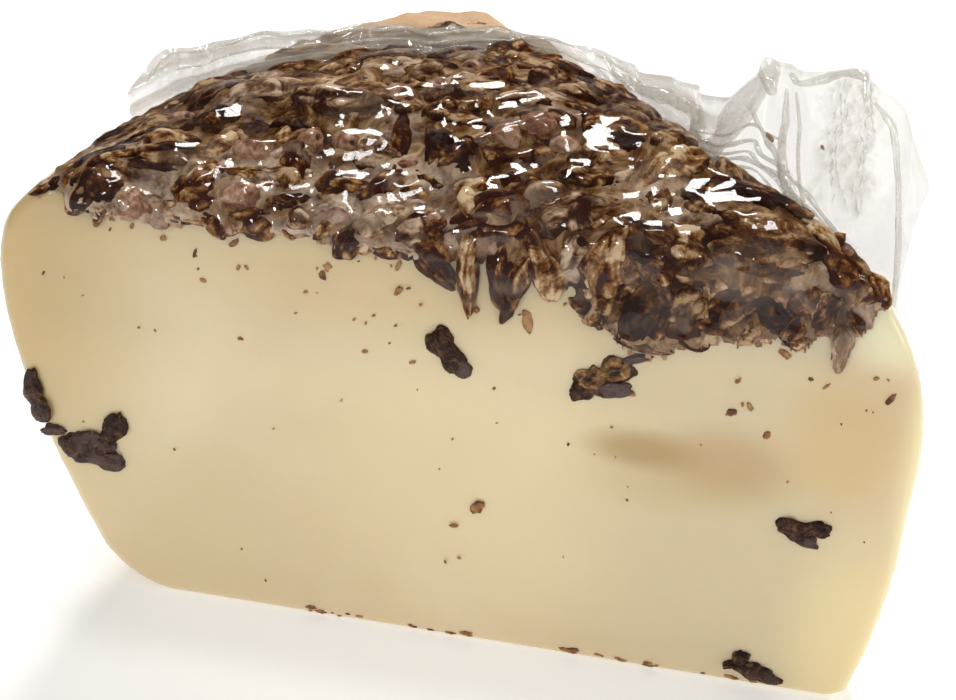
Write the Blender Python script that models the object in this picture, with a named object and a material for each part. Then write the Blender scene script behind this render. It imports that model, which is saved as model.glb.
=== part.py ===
"""A wedge of caciotta under a crust of grape marc, sealed in clear film.

The wedge stands on its flat base. Its large cut face looks towards -Y, the rind bulges at -X,
and the thin tip, once the middle of the wheel, points to +X. Metres, +Z up.
"""
import math
import random

import bmesh
import bpy
import numpy as np
from mathutils import Matrix, Vector, noise

# The wheel, and the wedge cut from it
WHEEL_RADIUS = 0.1495
WEDGE_ANGLE = math.radians(48.5)
EDGE_HEIGHT = 0.0722          # height of the crust at the edge of the top
CROWN = 0.0095                # how much higher the middle of the top is
TIP_X = 0.075                 # the wheel's middle, where the true tip would be
MIDDLE = (0.008, 0.036)       # plan point that the outlines are turned about

# How far each side falls in below its widest level, and above it
RIND_WIDEST = 0.80            # as a share of the edge height
RIND_IN_BELOW = 0.0178
RIND_IN_ABOVE = 0.0088
BACK_WIDEST = 0.5
BACK_IN_BELOW = 0.0008
BACK_IN_ABOVE = 0.0050
FACE_WIDEST = 0.5
FACE_IN_BELOW = 0.0006
FACE_IN_ABOVE = 0.0030
TIP_WIDEST = 0.62
TIP_IN_BELOW = 0.0078
TIP_IN_ABOVE = 0.0108
TIP_BLUNT = 0.0024            # cut back from the true tip
SWELL_BELOW = 1.8             # curve of the bulge, as a power
SWELL_ABOVE = 3.0
RIND_FILLET = 0.009           # the small round down to the base
CUT_FILLET = 0.0015
TIP_BASE_FILLET = 0.0022
FAR_FILLET = 0.005            # the upright edge between rind and second cut
TIP_FILLET = 0.006            # the upright edges of the tip
FACE_FILLET = 0.003           # round the large cut face

# The bed that the marc lies on, where the paste ends
BED_EDGE = 0.0700             # its level along the rind and the back
BED_DIP = 0.0105              # how far it sinks on the cut face, towards the tip
BED_DIP_X = 0.024
BED_DIP_REACH = 0.042
BED_DIP_DEPTH = 0.016         # how far behind the cut face the dip runs
BED_CROWN = 0.0045
BED_RIPPLES = (0.0006, 0.0043, 0.0005, 0.0021, 0.006)   # heights and lengths of two waves
BARE_MARGIN = 0.0045          # bare rind outside the marc, at the cut face
BARE_MARGIN_DEPTH = 0.006     # how far behind the cut face it closes up
BARE_CORNER = 0.012           # how wide the bare rind is at the far corner
BARE_CORNER_REACH = 0.030
BED_STEP = 0.004              # width of the slope between the bare rind and the bed
GAP = 0.0003                  # clearance between touching pieces

# The marc: whole grape skins and pips pressed into a dark core
SKIN = (0.0058, 0.0040, 0.0021)       # half length, half width, half thickness
PIP = (0.0031, 0.0020, 0.0016)
SKIN_SIDES = (7, 4)
PIP_SIDES = (5, 3)
PRESSED_SIDES = (12, 4)
SKIN_STEP = 0.0126
EDGE_STEP = 0.0150
SKIN_GRADES = (0.75, 1.25)            # smallest and largest, as a share of SKIN
SKIN_TILT = 0.3
SKIN_SCATTER = 0.002
SKIN_LIFT = 0.0004
SKIN_CRUMPLE = 0.45
EDGE_LEVEL = 0.985                    # of the skins along the shoulder
EDGE_SINK = 0.0009
EDGE_GRADES = (0.70, 1.0)
EDGE_OVERHANG = 0.0015                # how far past the marc's edge they may lie, on the rind
PIP_COUNT = 26
PIP_TILT = 0.5
PIP_LIFT = 0.0012
PIP_CRUMPLE = 0.1
CRUMPLE_PITCH = 1.7
TOP_INSET = 0.0022                    # skins stay this far inside the top's edge
PIP_INSET = 0.001
SEED = 13

# Skins that hang over the cut face: (x, z, half length, half width, lean in degrees)
HANGING = (
    (-0.0600, 0.0715, 0.0042, 0.0026, 70),
    (-0.0420, 0.0710, 0.0062, 0.0030, 10),
    (-0.0325, 0.0705, 0.0052, 0.0034, -20),
    (-0.0190, 0.0685, 0.0060, 0.0042, 60),
    (-0.0040, 0.0685, 0.0062, 0.0040, -35),
    (0.0016, 0.0665, 0.0068, 0.0026, 88),
    (0.0078, 0.0655, 0.0060, 0.0028, 80),
    (0.0135, 0.0690, 0.0060, 0.0036, -62),
    (0.0240, 0.0650, 0.0085, 0.0062, 75),
    (0.0340, 0.0640, 0.0075, 0.0052, 20),
    (0.0440, 0.0660, 0.0078, 0.0042, 0),
    (0.0520, 0.0655, 0.0055, 0.0036, 60),
    (0.0575, 0.0650, 0.0062, 0.0026, 88),
)
HANGING_HALF_DEPTH = 0.0019

# Skins pressed into the cut face: (name, x, z, half length, half width, lean in degrees)
PRESSED = (
    ("marc_skin_1", -0.0005, 0.0535, 0.0045, 0.0030, -50),
    ("marc_skin_2", 0.0225, 0.0515, 0.0052, 0.0043, 25),
    ("marc_skin_3", -0.0585, 0.0285, 0.0062, 0.0044, 40),
    ("marc_skin_4", 0.0553, 0.0312, 0.0044, 0.0022, 5),
    ("marc_skin_5", 0.0505, 0.0044, 0.0046, 0.0026, -12),
    ("marc_skin_6", -0.0700, 0.0350, 0.0058, 0.0026, 80),
)
PRESSED_HALF_DEPTH = 0.0011

# The loose fold of film that stands on the top: (x, y, level of its upper edge)
FOLD_WALL = 0.00035           # half thickness of the two plies
FOLD_CLEARANCE = 0.0006
FOLD_LEAN = 0.05
FOLD_LONG_WAVE = (0.0011, 0.0031)     # height and length of its waves
FOLD_SHORT_WAVE = (0.0006, 0.0013)
FOLD_ROUTE = (
    (-0.0655, 0.0375, 0.0740),
    (-0.0630, 0.0405, 0.0785),
    (-0.0600, 0.0435, 0.0805),
    (-0.0530, 0.0490, 0.0810),
    (-0.0400, 0.0525, 0.0830),
    (-0.0270, 0.0560, 0.0840),
    (-0.0120, 0.0580, 0.0845),
    (0.0020, 0.0620, 0.0830),
    (0.0120, 0.0650, 0.0790),
    (0.0216, 0.0568, 0.0795),
    (0.0330, 0.0438, 0.0818),
    (0.0350, 0.0416, 0.0822),
    (0.0372, 0.0392, 0.0885),
    (0.0393, 0.0367, 0.0918),
    (0.0440, 0.0315, 0.0930),
    (0.0480, 0.0270, 0.0935),
    (0.0530, 0.0212, 0.0972),
    (0.0575, 0.0162, 0.0975),
    (0.0613, 0.0120, 0.0940),
    (0.0634, 0.0096, 0.0895),
    (0.0648, 0.0080, 0.0850),
)

# How finely the surfaces are divided
COLUMNS = 60
TURN_WEIGHT = 0.012           # metres of outline that one radian of turn counts as
SIDE_SHARES = (0, 0.025, 0.07, 0.18, 0.36, 0.56, 0.74, 0.86, 0.94, 1.0)
CORE_SHARES = (0.62, 0.8, 0.9, 0.96, 1.0)
CORE_INSET = 0.99
TOP_SHARES = (0.94, 0.82, 0.64, 0.42, 0.2)
BED_SHARES = (0.965, 0.93, 0.89, 0.84, 0.76, 0.6, 0.3)
FOLD_RISES = (0.0, 0.5, 1.0)
SHARP_ANGLE = math.radians(40)
FOLD_COLUMNS = 92
FOLD_SMOOTHING = 2


def material(name, colour, roughness, coat=0.0, alpha=1.0):
    mat = bpy.data.materials.new(name)
    mat.use_nodes = True
    shader = mat.node_tree.nodes["Principled BSDF"]
    shader.inputs["Base Color"].default_value = (*colour, 1.0)
    shader.inputs["Roughness"].default_value = roughness
    shader.inputs["Metallic"].default_value = 0.0
    shader.inputs["Coat Weight"].default_value = coat
    shader.inputs["Alpha"].default_value = alpha
    return mat


def solid(name, points, faces, mat=None):
    mesh = bpy.data.meshes.new(name)
    mesh.from_pydata([tuple(float(c) for c in p) for p in points], [], faces)
    obj = bpy.data.objects.new(name, mesh)
    bpy.context.scene.collection.objects.link(obj)
    if mat:
        mesh.materials.append(mat)
    return obj


# The form of the wedge

def fall_in(z, widest, below, above):
    """How far a side stands inside its widest level at height z."""
    level = widest * EDGE_HEIGHT
    low = np.clip((level - z) / level, 0, 1) ** SWELL_BELOW
    high = np.clip((z - level) / (EDGE_HEIGHT - level), 0, 1) ** SWELL_ABOVE
    return below * low + above * high


def base_round(z, radius):
    """The small round where a side meets the base."""
    drop = np.clip(radius - z, 0, radius)
    return radius - np.sqrt(radius**2 - drop**2)


def round_join(a, b, radius):
    """The larger of two distances, with the edge between their surfaces rounded."""
    rounded = np.hypot(np.maximum(a + radius, 0), np.maximum(b + radius, 0)) - radius
    return np.where((a > -radius) & (b > -radius), rounded, np.maximum(a, b))


def outside(x, y, z):
    """Distance of a point outside the wedge's four sides, below zero inside it."""
    rind = np.hypot(x - TIP_X, y) - WHEEL_RADIUS
    rind = rind + fall_in(z, RIND_WIDEST, RIND_IN_BELOW, RIND_IN_ABOVE) + base_round(z, RIND_FILLET)
    back = (x - TIP_X) * math.sin(WEDGE_ANGLE) + y * math.cos(WEDGE_ANGLE)
    back = back + fall_in(z, BACK_WIDEST, BACK_IN_BELOW, BACK_IN_ABOVE) + base_round(z, CUT_FILLET)
    face = fall_in(z, FACE_WIDEST, FACE_IN_BELOW, FACE_IN_ABOVE) + base_round(z, CUT_FILLET) - y
    tip = x - TIP_X + TIP_BLUNT
    tip = tip + fall_in(z, TIP_WIDEST, TIP_IN_BELOW, TIP_IN_ABOVE) + base_round(z, TIP_BASE_FILLET)
    far = round_join(rind, back, FAR_FILLET)
    near = round_join(tip, back, TIP_FILLET)
    return round_join(np.maximum(far, near), face, FACE_FILLET)


def outline(angles, z):
    """Where rays from the middle meet the sides at height z."""
    near, far = np.zeros_like(angles), np.full_like(angles, WHEEL_RADIUS)
    for _ in range(40):
        half = (near + far) / 2
        d = outside(MIDDLE[0] + half * np.cos(angles), MIDDLE[1] + half * np.sin(angles), z)
        near, far = np.where(d < 0, half, near), np.where(d < 0, far, half)
    x = MIDDLE[0] + half * np.cos(angles)
    y = MIDDLE[1] + half * np.sin(angles)
    return np.stack([x, y, np.broadcast_to(z, x.shape)], axis=1)


def spread_angles(count):
    """Angles spaced by the outline's length and by how sharply it turns."""
    angles = np.linspace(-math.pi, math.pi, 1441)
    ring = outline(angles, 0.5 * EDGE_HEIGHT)
    step = np.diff(ring[:, :2], axis=0)
    heading = np.unwrap(np.arctan2(step[:, 1], step[:, 0]))
    turn = np.abs(np.diff(heading, append=heading[-1]))
    weight = np.hypot(step[:, 0], step[:, 1]) + TURN_WEIGHT * turn
    total = np.concatenate([[0.0], np.cumsum(weight)])
    return np.interp(np.linspace(0, total[-1], count, endpoint=False), total, angles)


def face_point(x, z):
    """The point of the front's surface in line with plan place x, at height z."""
    x, y, z = outline(np.array([math.atan2(-MIDDLE[1], x - MIDDLE[0])]), z)[0]
    return Vector((x, y, z))


def side_normal(point):
    """Which way the side faces at a point."""
    step = 0.0002
    here = outside(*point)
    ahead = [outside(*(point + Vector(axis) * step)) - here for axis in np.eye(3)]
    return Vector(ahead).normalized()


def share_out(x, y):
    """How far out a plan point lies: 0 in the middle, 1 on the top's edge."""
    angle = np.arctan2(y - MIDDLE[1], x - MIDDLE[0])
    edge = outline(np.atleast_1d(angle), EDGE_HEIGHT)
    reach = np.hypot(edge[:, 0] - MIDDLE[0], edge[:, 1] - MIDDLE[1])
    return np.hypot(np.atleast_1d(x) - MIDDLE[0], np.atleast_1d(y) - MIDDLE[1]) / reach


def top_height(x, y):
    """The core's top: a low crown."""
    u = np.minimum(share_out(x, y), 1.0)
    return EDGE_HEIGHT + CROWN * (1 - u**2)


def surface_height(x, y):
    """The height of the wedge over a plan point: its top, or its shoulder further out."""
    low, high = np.full_like(x, EDGE_HEIGHT / 2), np.full_like(x, EDGE_HEIGHT)
    for _ in range(30):
        half = (low + high) / 2
        inside = outside(x, y, half) < 0
        low, high = np.where(inside, half, low), np.where(inside, high, half)
    return np.where(outside(x, y, EDGE_HEIGHT) < 0, top_height(x, y), half)


def marc_cover(x, y):
    """How far a plan point lies inside the marc's outer edge, below zero on bare rind."""
    rim = WHEEL_RADIUS - RIND_IN_ABOVE - np.hypot(x - TIP_X, y)
    corner_x = TIP_X - WHEEL_RADIUS * math.cos(WEDGE_ANGLE)
    corner_y = WHEEL_RADIUS * math.sin(WEDGE_ANGLE)
    near_corner = np.exp(-((np.hypot(x - corner_x, y - corner_y) / BARE_CORNER_REACH) ** 2))
    margin = BARE_MARGIN * np.exp(-np.clip(y, 0, None) / BARE_MARGIN_DEPTH)
    return rim - margin - BARE_CORNER * near_corner


def bed_height(x, y):
    """The paste's top: bare rind outside, then a bed that the marc fills."""
    u = np.minimum(share_out(x, y), 1.0)
    long_height, long_pitch, short_height, short_pitch, depth_pitch = BED_RIPPLES
    ripple = long_height * np.sin(x / long_pitch)
    ripple = ripple + short_height * np.sin(x / short_pitch + y / depth_pitch)
    near_face = np.exp(-np.clip(y, 0, None) / BED_DIP_DEPTH)
    dip = BED_DIP * np.exp(-(((x - BED_DIP_X) / BED_DIP_REACH) ** 2)) * near_face
    bed = BED_EDGE + BED_CROWN * (1 - u**2) - dip + ripple * near_face
    bare = np.clip(0.5 - marc_cover(x, y) / BED_STEP, 0, 1)
    return bed + (top_height(x, y) - bed) * bare


def loft(rings):
    """Points and faces of a closed body through rings, with a fan at each end."""
    count = len(rings[0])
    points = [p for ring in rings for p in ring]
    faces = []
    for low in range(len(rings) - 1):
        for j in range(count):
            a, b = low * count + j, low * count + (j + 1) % count
            faces += [(a, b, b + count), (a, b + count, a + count)]
    for ring, start, flip in ((rings[0], 0, True), (rings[-1], (len(rings) - 1) * count, False)):
        centre = len(points)
        points.append(np.mean(ring, axis=0))
        for j in range(count):
            a, b = start + j, start + (j + 1) % count
            faces.append((centre, b, a) if flip else (centre, a, b))
    return points, faces


def cap_rings(edge, height, shares):
    """Rings that shrink from an edge to the middle, on a surface given by height."""
    rings = []
    for share in shares:
        x = MIDDLE[0] + (edge[:, 0] - MIDDLE[0]) * share
        y = MIDDLE[1] + (edge[:, 1] - MIDDLE[1]) * share
        rings.append(np.stack([x, y, height(x, y)], axis=1))
    return rings


def paste_body(name, mat=None):
    """The cheese up to its bed."""
    angles = spread_angles(COLUMNS)
    edge = outline(angles, np.full(COLUMNS, EDGE_HEIGHT))
    bed = bed_height(edge[:, 0], edge[:, 1])
    rings = [outline(angles, share * bed) for share in SIDE_SHARES]
    rings += cap_rings(rings[-1], bed_height, BED_SHARES)
    points, faces = loft(rings)
    return solid(name, points, faces, mat)


def grown(obj, amount):
    """Moves an object's surface outwards evenly, to cut a clearance round it."""
    bm = bmesh.new()
    bm.from_mesh(obj.data)
    bm.normal_update()
    moves = [v.normal * v.calc_shell_factor() * amount for v in bm.verts]
    for v, move in zip(bm.verts, moves):
        v.co += move
    bm.to_mesh(obj.data)
    bm.free()
    return obj


def core_body(name, mat):
    """The marc's core: from inside the paste up to the crowned top, its shoulder rounded."""
    angles = spread_angles(COLUMNS)
    rings = [outline(angles, np.full(COLUMNS, share * EDGE_HEIGHT)) for share in CORE_SHARES]
    for ring in rings:
        ring[:, :2] = MIDDLE + (ring[:, :2] - MIDDLE) * CORE_INSET
    rings += cap_rings(rings[-1], top_height, TOP_SHARES)
    points, faces = loft(rings)
    return solid(name, points, faces, mat)


# Marc pieces

def lump(name, centre, normal, half, turn, sides, rng, crumple):
    """A rough flattened lump lying along a surface, turned about that surface's normal."""
    bm = bmesh.new()
    round_sides, levels = sides
    bmesh.ops.create_uvsphere(bm, u_segments=round_sides, v_segments=levels, radius=1.0)
    shift = Vector((rng.uniform(0, 50), rng.uniform(0, 50), rng.uniform(0, 50)))
    for v in bm.verts:
        v.co *= 1.0 + crumple * noise.noise(v.co * CRUMPLE_PITCH + shift)
    lean = Vector(normal).to_track_quat("Z", "Y").to_matrix().to_4x4()
    size = Matrix.Diagonal((*half, 1.0))
    place = Matrix.Translation(centre) @ lean @ Matrix.Rotation(turn, 4, "Z") @ size
    bm.transform(place)
    mesh = bpy.data.meshes.new(name)
    bm.to_mesh(mesh)
    bm.free()
    return bpy.data.objects.new(name, mesh)


def surface_normal(x, y):
    """Which way the crowned top faces over a plan point."""
    step = 0.002
    here = top_height(x, y)[0]
    slope_x = (top_height(x + step, y)[0] - here) / step
    slope_y = (top_height(x, y + step)[0] - here) / step
    return Vector((-slope_x, -slope_y, 1.0)).normalized()


def scatter(rng, amount):
    """A random step in plan."""
    return Vector((rng.uniform(-amount, amount), rng.uniform(-amount, amount), 0))


def top_skins(rng):
    """Skins over the whole top, in staggered rows."""
    pieces = []
    rows = int(WHEEL_RADIUS / SKIN_STEP) + 2
    for row in range(rows):
        for col in range(rows + 3):
            x = -TIP_X + (col + 0.5 * (row % 2)) * SKIN_STEP
            y = (row + 0.35) * SKIN_STEP * math.sin(math.radians(60))
            x, y, _ = Vector((x, y, 0)) + scatter(rng, SKIN_SCATTER)
            grade = rng.uniform(*SKIN_GRADES)
            tilt = scatter(rng, SKIN_TILT)
            turn = rng.uniform(0, math.pi)
            if outside(x, y, EDGE_HEIGHT) > -TOP_INSET or marc_cover(x, y) < 0:
                continue
            centre = Vector((x, y, float(top_height(x, y)[0]) + SKIN_LIFT * grade))
            half = [h * grade for h in SKIN]
            lean = surface_normal(x, y) + tilt
            pieces.append(lump("skin", centre, lean, half, turn, SKIN_SIDES, rng, SKIN_CRUMPLE))
    return pieces


def shoulder_skins(rng):
    """Skins along the top's edge, leaning outwards."""
    pieces = []
    ring = outline(np.linspace(-math.pi, math.pi, 721), EDGE_HEIGHT * EDGE_LEVEL)
    walked = 0.0
    for a, b in zip(ring[:-1], ring[1:]):
        walked += float(np.hypot(*(b - a)[:2]))
        if walked < EDGE_STEP or marc_cover(*a[:2]) < -EDGE_OVERHANG:
            continue
        walked = 0.0
        along = Vector(b - a).normalized()
        out = Vector((along.y, -along.x, 0.9))
        grade, turn = rng.uniform(*EDGE_GRADES), rng.uniform(0, math.pi)
        half = [h * grade for h in SKIN]
        place = Vector(a) - out * EDGE_SINK
        pieces.append(lump("skin", place, out, half, turn, SKIN_SIDES, rng, SKIN_CRUMPLE))
    return pieces


def hanging_skins(rng):
    """Skins that hang down over the cut face."""
    pieces = []
    for x, z, length, width, lean in HANGING:
        place = face_point(x, z)
        half = (length, width, HANGING_HALF_DEPTH)
        turn = math.radians(lean)
        out = side_normal(place)
        pieces.append(lump("skin", place, out, half, turn, SKIN_SIDES, rng, SKIN_CRUMPLE))
    return pieces


def pips(rng):
    """Pips lying on the skins."""
    pieces = []
    while len(pieces) < PIP_COUNT:
        x = rng.uniform(-TIP_X, TIP_X)
        y = rng.uniform(0, WHEEL_RADIUS * math.sin(WEDGE_ANGLE))
        if outside(x, y, EDGE_HEIGHT) > -PIP_INSET or marc_cover(x, y) < 0:
            continue
        centre = Vector((x, y, float(top_height(x, y)[0]) + PIP_LIFT))
        lean = surface_normal(x, y) + scatter(rng, PIP_TILT)
        turn = rng.uniform(0, math.pi)
        pieces.append(lump("pip", centre, lean, PIP, turn, PIP_SIDES, rng, PIP_CRUMPLE))
    return pieces


def marc_pieces():
    """Every skin and pip that shows on the crust."""
    rng = random.Random(SEED)
    return top_skins(rng) + shoulder_skins(rng) + hanging_skins(rng) + pips(rng)


def pressed_skin(name, x, z, length, width, lean, grow=0.0, mat=None):
    """A flat skin let into the cut face. Grown, it cuts its own shallow pocket."""
    half = (length + grow, width + grow, PRESSED_HALF_DEPTH + grow)
    place = face_point(x, z)
    rng = random.Random(name)
    obj = lump(name, place, side_normal(place), half, math.radians(lean), PRESSED_SIDES, rng, 0.0)
    bpy.context.scene.collection.objects.link(obj)
    if mat:
        obj.data.materials.append(mat)
    return obj


# The fold of film

def fold_lines():
    """Plan line, outward direction, foot and crest of the fold, evenly divided."""
    route = np.array(FOLD_ROUTE)
    walked = np.concatenate([[0.0], np.cumsum(np.hypot(*np.diff(route[:, :2], axis=0).T))])
    way = np.linspace(0, walked[-1], FOLD_COLUMNS)
    x, y, crest = (np.interp(way, walked, route[:, i]) for i in range(3))
    for _ in range(FOLD_SMOOTHING):
        for line in (x, y, crest):
            line[1:-1] = (line[:-2] + 2 * line[1:-1] + line[2:]) / 4
    along = np.stack([np.gradient(x), np.gradient(y)], axis=1)
    along /= np.linalg.norm(along, axis=1)[:, None]
    out = np.stack([-along[:, 1], along[:, 0]], axis=1)
    sides = [(x + s * FOLD_WALL * out[:, 0], y + s * FOLD_WALL * out[:, 1]) for s in (-1, 1)]
    foot = np.maximum(*[surface_height(*side) for side in sides]) + FOLD_CLEARANCE
    return way, x, y, along, out, foot, crest


def film_fold(name, grow=0.0, mat=None):
    """A thin wavy strip of film on the top. Grown, it clears the marc round its foot."""
    way, x, y, along, out, foot, crest = fold_lines()
    height = crest - foot
    rows = []
    for rise in FOLD_RISES:
        wave = FOLD_LONG_WAVE[0] * np.sin(way / FOLD_LONG_WAVE[1])
        wave = wave + FOLD_SHORT_WAVE[0] * np.sin(way / FOLD_SHORT_WAVE[1] + 2 * rise)
        sway = wave * rise + FOLD_LEAN * height * rise**2
        z = foot + height * rise - (grow if rise == 0.0 else -grow)
        rows.append((x + out[:, 0] * sway, y + out[:, 1] * sway, z))
    half, count = FOLD_WALL + grow, len(way)
    end_grow = np.zeros(count)
    end_grow[0], end_grow[-1] = -grow, grow
    points = []
    for side in (1, -1):
        for px, py, pz in rows:
            px = px + side * half * out[:, 0] + along[:, 0] * end_grow
            py = py + side * half * out[:, 1] + along[:, 1] * end_grow
            points += list(zip(px, py, pz))
    levels, other = len(rows), len(rows) * count
    faces = []

    def quad(a, b, c, d):
        faces.append((a, b, c))
        faces.append((a, c, d))

    for row in range(levels - 1):
        for j in range(count - 1):
            a = row * count + j
            quad(a, a + 1, a + 1 + count, a + count)
            quad(a + other, a + count + other, a + 1 + count + other, a + 1 + other)
    for j in range(count - 1):
        quad(j, j + other, j + 1 + other, j + 1)
        a = (levels - 1) * count + j
        quad(a, a + 1, a + 1 + other, a + other)
    for row in range(levels - 1):
        a = row * count
        quad(a, a + count, a + count + other, a + other)
        a = row * count + count - 1
        quad(a, a + other, a + count + other, a + count)
    obj = solid(name, points, faces, mat)
    face_outwards(obj.data)
    return obj


# Joining and cutting

def face_outwards(mesh):
    """Turns every face of a closed mesh outwards."""
    bm = bmesh.new()
    bm.from_mesh(mesh)
    bmesh.ops.recalc_face_normals(bm, faces=bm.faces)
    bm.to_mesh(mesh)
    bm.free()


def boolean(target, operation, tools):
    """Joins a group of objects to the target, or cuts them from it, and removes them."""
    group = bpy.data.collections.new("tools")
    for tool in tools:
        for owner in list(tool.users_collection):
            owner.objects.unlink(tool)
        group.objects.link(tool)
    bpy.context.scene.collection.children.link(group)
    mod = target.modifiers.new("Boolean", "BOOLEAN")
    mod.operation = operation
    mod.operand_type = "COLLECTION"
    mod.collection = group
    mod.solver = "MANIFOLD"
    graph = bpy.context.evaluated_depsgraph_get()
    graph.update()
    result = bpy.data.meshes.new_from_object(target.evaluated_get(graph))
    target.modifiers.clear()
    old = target.data
    target.data = result
    result.name = target.name
    bpy.data.meshes.remove(old)
    for tool in tools:
        bpy.data.objects.remove(tool)
    bpy.data.collections.remove(group)


def drop_scraps(obj):
    """Keeps the largest body and deletes loose ones that a cut has left."""
    bm = bmesh.new()
    bm.from_mesh(obj.data)
    left, bodies = set(bm.faces), []
    while left:
        body, edge = set(), [left.pop()]
        while edge:
            face = edge.pop()
            body.add(face)
            plain = [e for e in face.edges if len(e.link_faces) == 2]
            near = {f for e in plain for f in e.link_faces} & left
            left -= near
            edge.extend(near)
        bodies.append(body)
    bodies.sort(key=len)
    for scrap in bodies[:-1]:
        bmesh.ops.delete(bm, geom=list(scrap), context="FACES")
    bm.to_mesh(obj.data)
    bm.free()


def main():
    for obj in list(bpy.data.objects):
        bpy.data.objects.remove(obj, do_unlink=True)
    paste_mat = material("paste", (0.68, 0.56, 0.34), 0.35, coat=0.6)
    marc_mat = material("marc", (0.075, 0.035, 0.02), 0.4, coat=0.6)
    skin_mat = material("pressed_skin", (0.07, 0.035, 0.03), 0.4, coat=0.6)
    film_mat = material("film", (0.85, 0.85, 0.84), 0.08, alpha=0.25)

    paste = paste_body("paste", paste_mat)
    boolean(paste, "DIFFERENCE", [pressed_skin(*row, grow=GAP) for row in PRESSED])
    crust = core_body("crust", marc_mat)
    boolean(crust, "UNION", marc_pieces())
    clear = grown(paste_body("clear"), GAP)
    skins = [pressed_skin(*row, grow=GAP) for row in PRESSED]
    boolean(crust, "DIFFERENCE", [clear, film_fold("clear_fold", GAP)] + skins)
    skins = [pressed_skin(*row, mat=skin_mat) for row in PRESSED]
    fold = film_fold("film_fold", mat=film_mat)

    parts = [paste, crust, fold] + skins
    for obj in parts:
        drop_scraps(obj)
        obj.data.shade_smooth()
        obj.data.set_sharp_from_angle(angle=SHARP_ANGLE)

    everything = np.array([v.co for obj in parts for v in obj.data.vertices])
    low, high = everything.min(axis=0), everything.max(axis=0)
    home = Vector((-(low[0] + high[0]) / 2, -(low[1] + high[1]) / 2, -low[2]))
    for obj in parts:
        obj.data.transform(Matrix.Translation(home))


main()
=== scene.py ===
"""A wedge of caciotta under a crust of grape marc, in clear film: the looks."""
import math

import bmesh
import bpy
import numpy as np
from mathutils import Matrix, Vector
from mathutils.bvhtree import BVHTree


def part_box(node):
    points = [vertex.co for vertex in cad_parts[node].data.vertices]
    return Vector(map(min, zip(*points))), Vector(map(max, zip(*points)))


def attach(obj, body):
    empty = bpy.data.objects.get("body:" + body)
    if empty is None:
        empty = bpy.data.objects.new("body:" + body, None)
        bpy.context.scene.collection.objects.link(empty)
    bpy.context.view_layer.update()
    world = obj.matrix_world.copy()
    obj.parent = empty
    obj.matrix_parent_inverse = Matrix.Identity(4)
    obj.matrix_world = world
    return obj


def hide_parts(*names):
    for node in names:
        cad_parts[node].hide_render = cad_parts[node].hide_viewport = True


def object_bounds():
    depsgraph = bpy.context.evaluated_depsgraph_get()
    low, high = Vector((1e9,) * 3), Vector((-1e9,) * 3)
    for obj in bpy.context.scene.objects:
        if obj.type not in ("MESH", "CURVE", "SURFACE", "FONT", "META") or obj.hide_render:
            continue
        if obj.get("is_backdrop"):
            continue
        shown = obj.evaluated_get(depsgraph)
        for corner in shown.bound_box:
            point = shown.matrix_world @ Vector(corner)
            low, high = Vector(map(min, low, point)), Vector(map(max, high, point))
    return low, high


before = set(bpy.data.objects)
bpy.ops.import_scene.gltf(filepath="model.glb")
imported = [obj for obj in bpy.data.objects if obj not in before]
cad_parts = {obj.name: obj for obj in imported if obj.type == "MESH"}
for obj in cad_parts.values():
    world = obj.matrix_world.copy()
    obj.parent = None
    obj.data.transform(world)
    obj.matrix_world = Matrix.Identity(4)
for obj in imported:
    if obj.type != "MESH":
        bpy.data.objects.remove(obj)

cad_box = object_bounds()


# The cheese: a wedge cut from a wheel about 30 cm wide. The paste is soft, dense and ivory,
# a little darker towards the rind, and thin at the tip, where the light coming through is painted in as a
# yellow glow.
# It was cut twice with a wire, so the faces are flat with faint drags.

# Sizes are in metres. X runs along the large cut from the rind to the tip, Y away from it.
WHEEL_RADIUS = 0.1495
WEDGE_ANGLE = math.radians(48.5)
EDGE_HEIGHT = 0.0722
CROWN = 0.0095
TIP_X = 0.075
MIDDLE = (0.008, 0.036)
RIND_BULGE = (0.80, 0.0178, 0.0088)       # widest level, how far it falls in below and above
BACK_BULGE = (0.5, 0.0008, 0.0050)
FACE_BULGE = (0.5, 0.0006, 0.0030)
TIP_BULGE = (0.62, 0.0078, 0.0108)
TIP_BLUNT = 0.0024
SWELL_BELOW = 1.8
SWELL_ABOVE = 3.0
RIND_FILLET = 0.009
CUT_FILLET = 0.0015
TIP_BASE_FILLET = 0.0022
FAR_FILLET = 0.005
TIP_FILLET = 0.006
FACE_FILLET = 0.003
BED_EDGE = 0.0700
BED_DIP = 0.0092
BED_DIP_FROM = 0.0165                     # where along the face the marc goes deeper
BED_DIP_TO = 0.0640
BED_DIP_RISE, BED_DIP_FALL = 0.006, 0.012
BED_DIP_DEPTH = 0.016
BED_SHELF = 0.35                          # how much shallower the dip is towards the tip
BED_SHELF_FROM = 0.037
BED_SHELF_RISE = 0.004
LONG_RIPPLE = (0.0006, 0.0043)            # height, and length along the face
SHORT_RIPPLE = (0.0005, 0.0021, 0.006)    # the same, and its slant away from the face
BED_CROWN = 0.0045
BARE_MARGIN = 0.0045
BARE_MARGIN_DEPTH = 0.006
BARE_CORNER = 0.012
BARE_CORNER_REACH = 0.030
BED_STEP = 0.004
CORNER_X = TIP_X - WHEEL_RADIUS * math.cos(WEDGE_ANGLE)
CORNER_Y = WHEEL_RADIUS * math.sin(WEDGE_ANGLE)

PASTE_COLUMNS = 400
PASTE_LEVELS = 64
PASTE_RINGS = 22
PASTE_UNEVEN = 0.00022
PASTE_UNEVEN_PITCH = 0.021
WIRE_DRAG = 0.00005
WIRE_DRAG_PITCH = 0.0030
FLAT_BASE = 0.006                         # below this the sides are smooth again
# How far back, and how high, the rind turns peach
PEACH_BEYOND = (0.078, 0.098)
PEACH_ABOVE = (0.060, 0.069)

paste_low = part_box("paste")[0]
HOME = np.array([paste_low[0] - TIP_X + WHEEL_RADIUS, paste_low[1], 0.0])


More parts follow.
